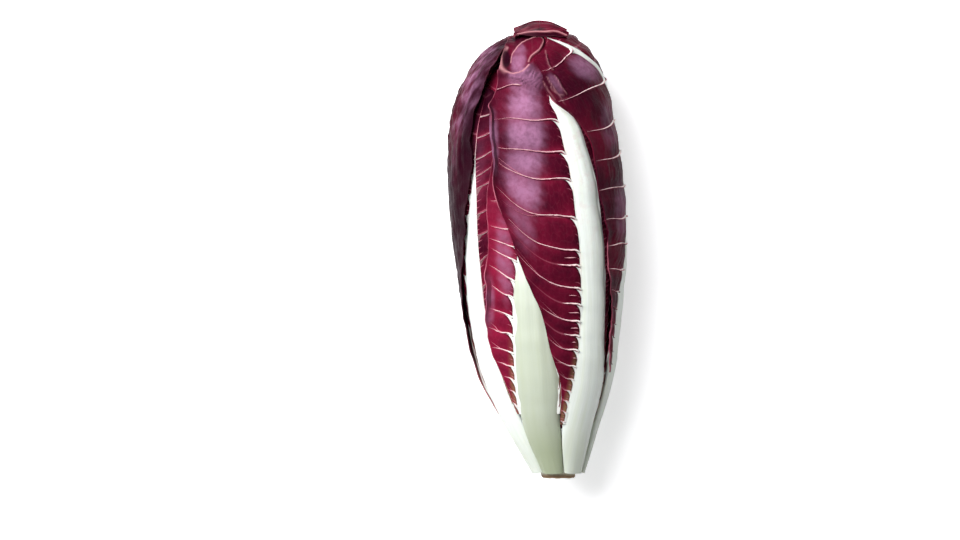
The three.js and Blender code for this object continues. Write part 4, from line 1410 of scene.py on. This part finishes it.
def vein_paths(leaf, table, rng):
    """The veins of one side: number at each fraction f of the way to the margin, f and kind."""
    name, paths = leaf["name"], []
    for k, entry in enumerate(table):
        sway, phase = rng.uniform(5, 9), rng.uniform(0, 6)
        fork, side = rng.uniform(0.4, 0.7), rng.choice([-FORK_SIDE, FORK_SIDE])
        forks, shorts = rng.random(2)
        reach = rng.uniform(*VEIN_ENDS.get(name, OTHER_ENDS))
        start, reach = entry[2:] if len(entry) > 2 else (-0.01, reach)

        def wobble(f):
            return 0.035 * np.sin(f * sway + phase) * step(0, 0.3, f)

        f = np.linspace(start, reach, 36)
        paths.append((k + wobble(f), f, "main" if start < LATE_START else "late"))
        if len(entry) == 2 and forks < FORKED.get(name, MOST_FORKED):
            f = np.linspace(fork, reach, 24)
            paths.append((k + wobble(f) + side * step(fork, 1.15, f), f, "fork"))
        f = rng.uniform(0.03, 0.12) + np.linspace(0, rng.uniform(0.12, 0.3), 24)
        if k < len(table) - 1 and shorts < SHORT_VEINS.get(name, 0):
            paths.append((k + 0.5 + wobble(f), f, "short"))
    return paths


# %% Vein shapes
FLARED = {("front_leaf", -1), ("middle_leaf", -1)}
VEIN_SHOW = {"far_left_leaf": 0.04, "right_leaf": 1.15}  # how clearly veins show, 1 on the others
VEIN_SIZE = {"right_leaf": 1.6, "left_leaf": 1.4, "front_leaf": 1.5, "middle_leaf": 1.3}
VEIN_FADING = {"right_leaf": 0.25, "left_leaf": 0.4, "front_leaf": 0.45}  # lost at the margin
FLARE_REACH = 2.2  # mm over which a flared root narrows


def vein_shape(leaf, sign, veins, number, f, kind, width, rng):
    """Radius in mm, strength of colour and root of a vein at every f."""
    name, end = leaf["name"], leaf["half"][-1][0]
    s0 = vein_start(veins, number)
    minor = kind in ("fork", "short")
    span = width.max()
    root = np.exp(-np.maximum(f * width, 0) / FLARE_REACH) * step(end, end - 0.03, s0)
    root = root * (not minor and (name, sign) in FLARED)
    size = np.clip(span / 20, 0.4, 1) * np.clip(vein_gap(veins, number[0]) / 7, 0.5, 1)
    size = size * (0.5 if minor else 0.85) * VEIN_SIZE.get(name, 1) * rng.uniform(0.85, 1.1)
    radius = size * (0.7 * (1 - f) ** 1.5 + 0.55 + 0.5 * root)
    radius = radius * (1.5 if kind == "late" else 1 - 0.7 * step(0.75, 1, f / f[-1]))
    at_rib = kind == "main" and s0[0] <= end - 0.01
    begin = (-0.015, 0.06) if at_rib else (-0.02, 0.08)
    radius = radius * step(*begin, f - f[0])
    fade = 1 - VEIN_FADING.get(name, 0.6) * step(0.25, 1.05, f) + 0.4 * root
    fade = fade * np.clip(0.5 + span / 30, 0, 1) * (0.6 if minor else 1) * VEIN_SHOW.get(name, 1)
    if kind == "late":
        fade = 0.9 * step(-0.02, 0.1, f - f[0])
    return radius, fade, root


# %% Vein lines
HIDDEN_SIDES = {("left_leaf", -1), ("far_left_leaf", 1)}
LEAST_VEIN = 0.5  # mm, and a ridge shorter than this is left out
TIP_CLEAR, START_CLEAR = 0.012, 0.004  # share of the way that veins keep from either end
RIDGE_SINK = 0.15  # of its radius


def vein_lines(leaf):
    """Lines of the veins of both sides and of the midvein beyond the rib."""
    name, end, last = leaf["name"], leaf["half"][-1][0], leaf["tip"] - TIP_CLEAR
    bend, *sides = VEINS[name]
    rng = np.random.default_rng(name_seed(leaf))
    lines = []

    def add(s, w, radius, fade, root):
        points, out = leaf_surface(leaf, s, w), surface_normal(leaf, s, w)
        if np.linalg.norm(points[-1] - points[0]) < LEAST_VEIN:
            return
        # Half of the painted highlight carries over onto the ridges.
        bloom = 0.5 * highlight_strength(seen(points), PAINTED_HIGHLIGHTS.get(name, []))
        lines.append({"points": points - out * radius[:, None] * RIDGE_SINK, "out": out,
                      "radius_mm": radius, "fade": fade, "root": root + 0 * s, "bloom": bloom})

    for sign, table in zip((-1, 1), sides):
        if (name, sign) in HIDDEN_SIDES:
            continue
        veins = padded(table)
        for number, f, kind in vein_paths(leaf, table, rng):
            s0 = vein_start(veins, number)
            s = s0 + np.interp(s0, veins[:, 0], veins[:, 1]) * np.maximum(f, 0) ** bend
            if s.max() > last or s.min() < leaf["start"] + START_CLEAR:
                continue
            row = leaf_row(leaf, s)
            edge = row["left"] if sign < 0 else row["right"]
            width = (np.abs(edge) - row["half"]) * RAD * row["radius"]
            w = sign * row["half"] + f * (edge - sign * row["half"])
            shape = vein_shape(leaf, sign, veins, number, f, kind, width, rng)
            add(s - vein_dip(leaf, vein_gap(veins, number), f * width), w, *shape)
    s = np.linspace(end - 0.02, last, 40)
    if name not in TIP_FORMS and s[-1] > s[0]:
        start, fading = step(end + 0.02, end - 0.01, s), step(s[-1], s[0], s)
        radius = (0.25 + 0.3 * fading) * step(end - 0.022, end, s)
        add(s, 0 * s, radius, 0.8 * fading + 0.5 * start, start)
    return lines


# %% Rib bodies
RIB_BACK = 3.6  # mm, the thickness of a wide rib
RIB_CROWN = 0.15  # how far its middle stands up, of its half width
RIB_START = 0.012  # share of the way
RIB_LEAST = 0.45  # mm of half width, and the rib ends where it is narrower
RIB_SINK = 0.07
RIB_ROW = 1.0
RIB_COLUMNS = 28
RIB_OVER = 1.02  # how far the rib reaches over the blade's edge, of its half width
RIB_UNDER = 0.985  # how wide its back is, of its front
RIB_SHADE = {"middle_leaf": 0.72, "front_leaf": 0.1, "right_leaf": 0.2}


def rib_body(leaf):
    halves = np.array(leaf["half"])
    fine = np.linspace(RIB_START, halves[-1, 0], 2000)
    end = fine[curve(leaf["half"], fine) > RIB_LEAST].max()
    s = even_steps(RIB_START, end, RIB_ROW / LENGTH)[:, None]
    half_mm = np.maximum(curve(leaf["half"], s), 0)
    x = np.sin(np.linspace(-1, 1, RIB_COLUMNS + 1) * np.pi / 2)[None, :]
    w = x * leaf_row(leaf, s)["half"] * RIB_OVER
    base = leaf_point(leaf, s, w)
    across, along = x * half_mm, s * LENGTH
    seed, start = name_seed(leaf) + 20, leaf["start"]
    grooves = 0.13 * soft_noise(seed, 5.5, across, along * 0.03)
    fibres = 0.05 * soft_noise(seed + 1, 1.9, across, along * 0.02)
    grooves = (grooves + fibres) * np.sqrt(np.maximum(1 - x**2, 0)) * step(1, 5, half_mm)
    swell = (1 - x**2) * half_mm * RIB_CROWN + grooves
    swell = swell + relief(leaf, s, 0 * w) * step(start, start + 0.03, s) - RIB_SINK
    # Where there is no blade yet, the rib's edge is a rounded lip of its own.
    free = step(start + 0.04, start, s)
    swell = swell - free * 0.9 * np.abs(x) ** 6 - 0.8 * step(end - 0.014, end, s)
    top = base + grid_normals(base) * swell[..., None]
    back = BLADE_THICK + (RIB_BACK - BLADE_THICK) * step(0.6, 6, half_mm) * (1 - 0.5 * x**2)
    bottom = leaf_point(leaf, s, w * RIB_UNDER, back)
    points, faces, keep = sheet_body(top, bottom, 4)
    joined = step(start, start + 0.08, s)
    shade = RIB_SHADE.get(leaf["name"], 0) * step(0.75, 0.25, s)
    values = {
        "across_mm": across + 30 * (seed % 7),
        "along_mm": along,
        "edge_mm": (1 - np.abs(x)) * half_mm * joined + 2 * (1 - joined),
        "upper": step(0.35, 0.7, s),
        "shade": shade + 0.3 * step(0.16, 0.04, s),
    }
    return points, faces, body_values(values, keep)


# %% Make the leaves
FAR_SHADE = {"far_left_leaf": 0.6}  # how deep in shade the ridges of a leaf are


def make_leaf(leaf):
    name = leaf["name"]
    size = ROW_MM * FINE[name]
    s = blade_rows(leaf, size)[:, None]
    w = blade_columns(leaf, s, size)
    outer = leaf_surface(leaf, s, w)
    values = leaf_values(leaf, s, w)
    thick = MARGIN_THICK + (BLADE_THICK - MARGIN_THICK) * step(0, 6, values["edge_mm"])
    inner = outer - grid_normals(outer) * thick[..., None]
    points, faces, keep = sheet_body(outer, inner)
    blade = (points, faces, body_values(values, keep))
    places, ridge_faces, ridge = swept_ridges(vein_lines(leaf))
    crest = np.clip(ridge["crest_raw"] * 1.6 + 0.25 + 2 * ridge["root"], 0, 1) * ridge["fade"]
    plain = {"rib_mm": 9, "edge_mm": 9, "number": NO_VEINS, "gap_mm": WIDE_GAP,
             "shade": FAR_SHADE.get(name, 0)}
    extra = {key: np.full(len(places), value, float) for key, value in plain.items()}
    ridges = (places, ridge_faces, {**extra, "crest": crest, "bloom": ridge["bloom"]})
    make_piece(name + "_skin", [blade, ridges], BLADE, name + "_blade")
    make_piece(name + "_midrib", [rib_body(leaf)], RIB, name + "_rib")


for leaf in LEAVES:
    make_leaf(leaf)

# %% [markdown]
# ## Inner leaves and heart
#
# Between the outer leaves the next ones show as dark red strips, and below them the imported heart.
# They only show in gaps, so plain sheets with soft swellings are enough.

# %% Inner leaves
INNER = {  # name: (middle in degrees, tip)
    "inner_leaf_top": (-12, 0.98),
    "inner_leaf_right": (108, 0.955),
    "inner_leaf_left": (228, 0.965),
}
INNER_SPREAD = 72
INNER_SIDE = ((0, 0.35), (0.35, 1), (1, 1))  # share of the way, share of that spread
INNER_DEPTHS = [[0, 4, 4, 4], [0.3, 10.3, 8.2, 8], [1, 10.3, 8.2, 8]]
INNER_DROP = 9
INNER_START = 0.2
INNER_ROWS, INNER_COLUMNS = 90, 70
INNER_GAP = 11  # mm between the veins
TIP_ROWS = 15


def make_inner_leaf(name, middle, tip):
    left, right = ([[s, middle + f * spread] for s, f in INNER_SIDE]
                   for spread in (-INNER_SPREAD, INNER_SPREAD))
    leaf = {
        "name": name, "tip": tip, "rib": [[0, middle], [1, middle]], "half": [[0, 0], [1, 0]],
        "left": left, "right": right, "depths": INNER_DEPTHS, "drop": INNER_DROP, "lift": [0, 0],
    }
    turn = tip - ROUND_TIP
    arc = np.linspace(0, np.arcsin(0.99), TIP_ROWS + 1)[1:]
    s = np.concatenate([np.linspace(INNER_START, turn, INNER_ROWS), turn + ROUND_TIP * np.sin(arc)])
    s = s[:, None]
    row = leaf_row(leaf, s)
    f = np.linspace(-1, 1, INNER_COLUMNS + 1)[None, :]
    w = np.where(f < 0, -f * row["left"], f * row["right"])
    base = leaf_point(leaf, s, w)
    mm = RAD * row["radius"]
    across, along = w * mm, s * LENGTH
    number = along / INNER_GAP - np.abs(across) / 30
    swell = 0.4 * np.sin(np.pi * number) ** 2 + 0.3 * soft_noise(len(name), 9, across, along)
    outer = base + grid_normals(base) * swell[..., None]
    inner = outer - grid_normals(outer) * BLADE_THICK
    points, faces, keep = sheet_body(outer, inner, 4)
    values = {"rib_mm": np.abs(across), "edge_mm": (1 - np.abs(f)) * np.abs(row["right"]) * mm,
              "number": number, "gap_mm": INNER_GAP, "bright": 0.35}
    blade = (points, faces, body_values(values, keep))
    make_piece(name + "_skin", [blade], BLADE, name)


for name, (middle, tip) in INNER.items():
    make_inner_leaf(name, middle, tip)


# %% Heart
HEART_DEPTH = 12.2
HEART_START, HEART_TURN = 0.1, 0.9
HEART_TIP = 0.085  # share of the way over which its end rounds off
HEART_FOLDS = 3  # leaves that wrap round it, and each starts with a steep step
FOLD_TURN = 1  # folds by which they wind round on their way to the tip
FOLD_WALL = 0.07  # share of a fold that its steep side takes


def ring_body(rings, values):
    """A closed body from rings of points, with a point in the middle of either end."""
    count, around = rings.shape[:2]
    index = 2 + np.arange(count * around).reshape(count, around)
    after = np.roll(index, -1, axis=1)
    faces = np.stack([index[:-1], after[:-1], after[1:], index[1:]], -1).reshape(-1, 4).tolist()
    faces += [[0, int(after[0, j]), int(index[0, j])] for j in range(around)]
    faces += [[1, int(index[-1, j]), int(after[-1, j])] for j in range(around)]
    points = np.concatenate([rings[0].mean(0)[None], rings[-1].mean(0)[None], rings.reshape(-1, 3)])
    spread = {key: (value + np.zeros((count, around))).ravel() for key, value in values.items()}
    return points, faces, {key: np.r_[value[0], value[-1], value] for key, value in spread.items()}


def make_heart():
    arc = np.linspace(0, 1.55, TIP_ROWS + 1)[1:]
    s = np.linspace(HEART_START, HEART_TURN, 100)
    s = np.concatenate([s, HEART_TURN + HEART_TIP * np.sin(arc)])[:, None]
    angle = np.linspace(0, 2 * np.pi, 145)[None, :-1]
    fold = np.mod(angle / 2 / np.pi * HEART_FOLDS + FOLD_TURN * s, 1)
    fold = np.where(fold > 1 - FOLD_WALL, (1 - fold) / FOLD_WALL, fold / (1 - FOLD_WALL))
    depth = 5 + (HEART_DEPTH - 5) * step(0.04, 0.22, s) + INNER_DROP * step(DROP_START, 1, s)
    depth = depth + 1.2 * fold * step(0.15, 0.4, s) + 0.25 * soft_noise(5, 9, angle * 30, s * LENGTH)
    rings = skin_point(s + 0 * angle, angle + 0 * s, depth)
    values = {"rib_mm": fold * 20 + 2, "edge_mm": (1 - fold) * 20 + 1, "number": s * LENGTH / 9,
              "gap_mm": 9, "bright": 0.3}
    make_piece("heart_skin", [ring_body(rings, values)], BLADE, "heart")


make_heart()

# %% [markdown]
# ## The cut stem
#
# The stem is cut across. The cut dries to a dull tan with a darker rim and a ring of small fibre
# ends, which is where the leaves were fed. The fibre ends repeat round a ring, so nodes set them.

# %% Stem material
CUT_TAN, CUT_BROWN = (0.62, 0.50, 0.32, 1), (0.50, 0.36, 0.20, 1)
CUT_RIM, CUT_SPOT = (0.24, 0.14, 0.07, 1), (0.36, 0.24, 0.13, 1)
STEM_PALE = (0.70, 0.68, 0.52, 1)


def stem_material():
    material, graph, shader = new_material("cut_stem_skin")
    out, along = graph.point("out_mm"), graph.point("along_mm")
    spots = graph.noise(graph.place(), 500.0, 4.0, 0.6)
    colour = graph.layers(CUT_TAN, [
        (graph.smooth(out, 3.0, 7.5), CUT_BROWN),
        (graph.smooth(out, 7.8, 9.0), CUT_RIM),
        (graph.smooth(along, 0.8, 3.0), STEM_PALE),
        (graph.smooth(spots, 0.5, 0.7) * 0.5, CUT_SPOT),
    ])
    normal = graph.bump(spots, 0.7, 0.0004)
    graph.feed(shader, {"Base Color": colour, "Roughness": 0.8, "Normal": normal})
    return material


STEM = stem_material()

# %% Fibre ends
FIBRES = 15
FIBRE_RING = 6.0
FIBRE_SIZE = 0.55
FIBRE_OUT = 8.6  # mm, and the knobs are as dark as the cut is there


def fibre_tree():
    inputs = {"Geometry": "Geometry", "Count": "Int", "Ring": "Float", "Size": "Float"}
    graph, given, out = new_tree("GeometryNodeTree", "fibre_ring", inputs, {"Geometry": "Geometry"})
    ring = graph.get("GeometryNodeMeshCircle", {"Vertices": given["Count"], "Radius": given["Ring"]})
    knob = graph.get("GeometryNodeMeshIcoSphere", {"Radius": given["Size"], "Subdivisions": 2})
    placed = graph.get("GeometryNodeInstanceOnPoints", {"Points": ring, "Instance": knob})
    return end_tree(graph, out, placed, STEM)


def fibre_ends():
    """The knobs of the ring on the cut, each a little flattened and off the circle."""
    settings = {"Count": FIBRES, "Ring": FIBRE_RING * MM, "Size": FIBRE_SIZE * MM}
    empty = bpy.data.meshes.new("fibre_ends")
    points, faces = mesh_arrays(grown_mesh(empty, fibre_tree(), settings))
    x, y = points[:, 0], points[:, 1]
    angle = np.arctan2(x, y)
    radius = np.hypot(x, y) + 0.5 * soft_noise(8, 4, 6 * np.cos(angle), 6 * np.sin(angle))
    places = axis_point(0.4 - 0.5 * points[:, 2], radius, angle)
    return places, faces, {"out_mm": np.full(len(points), FIBRE_OUT), "along_mm": 0 * x}


# %% Stem body
STEM_RADIUS = 9.0
STEM_TOP = 22.0
CUT_BEVEL = 0.9
STEM_PROFILE = [  # mm along, radius
    *([0, r] for r in np.linspace(0.6, STEM_RADIUS - CUT_BEVEL, 12)),
    [CUT_BEVEL, STEM_RADIUS], [STEM_TOP / 2, STEM_RADIUS + 1], [STEM_TOP, STEM_RADIUS + 2.5],
]


def make_stem():
    profile = np.array(STEM_PROFILE)
    along, radius = profile[:, :1], profile[:, 1:]
    angle = np.linspace(0, 2 * np.pi, 73)[None, :-1]
    cut = 0.25 * soft_noise(3, 5, radius * np.sin(angle), radius * np.cos(angle)) * (along < 0.1)
    rings = axis_point(np.maximum(along + 0.25 + cut, 0), radius + 0 * angle, angle + 0 * along)
    points, faces, values = ring_body(rings, {"out_mm": radius, "along_mm": along})
    for value in values.values():
        value[:2] = 0  # the points in the middle of either end
    make_piece("stem_cut", [(points, faces, values), fibre_ends()], STEM, "stem")


make_stem()

# %% [markdown]
# ## Finish
#
# The last cell prints how many triangles the finished head has.

# %% Triangles
print("triangles:", triangle_total)
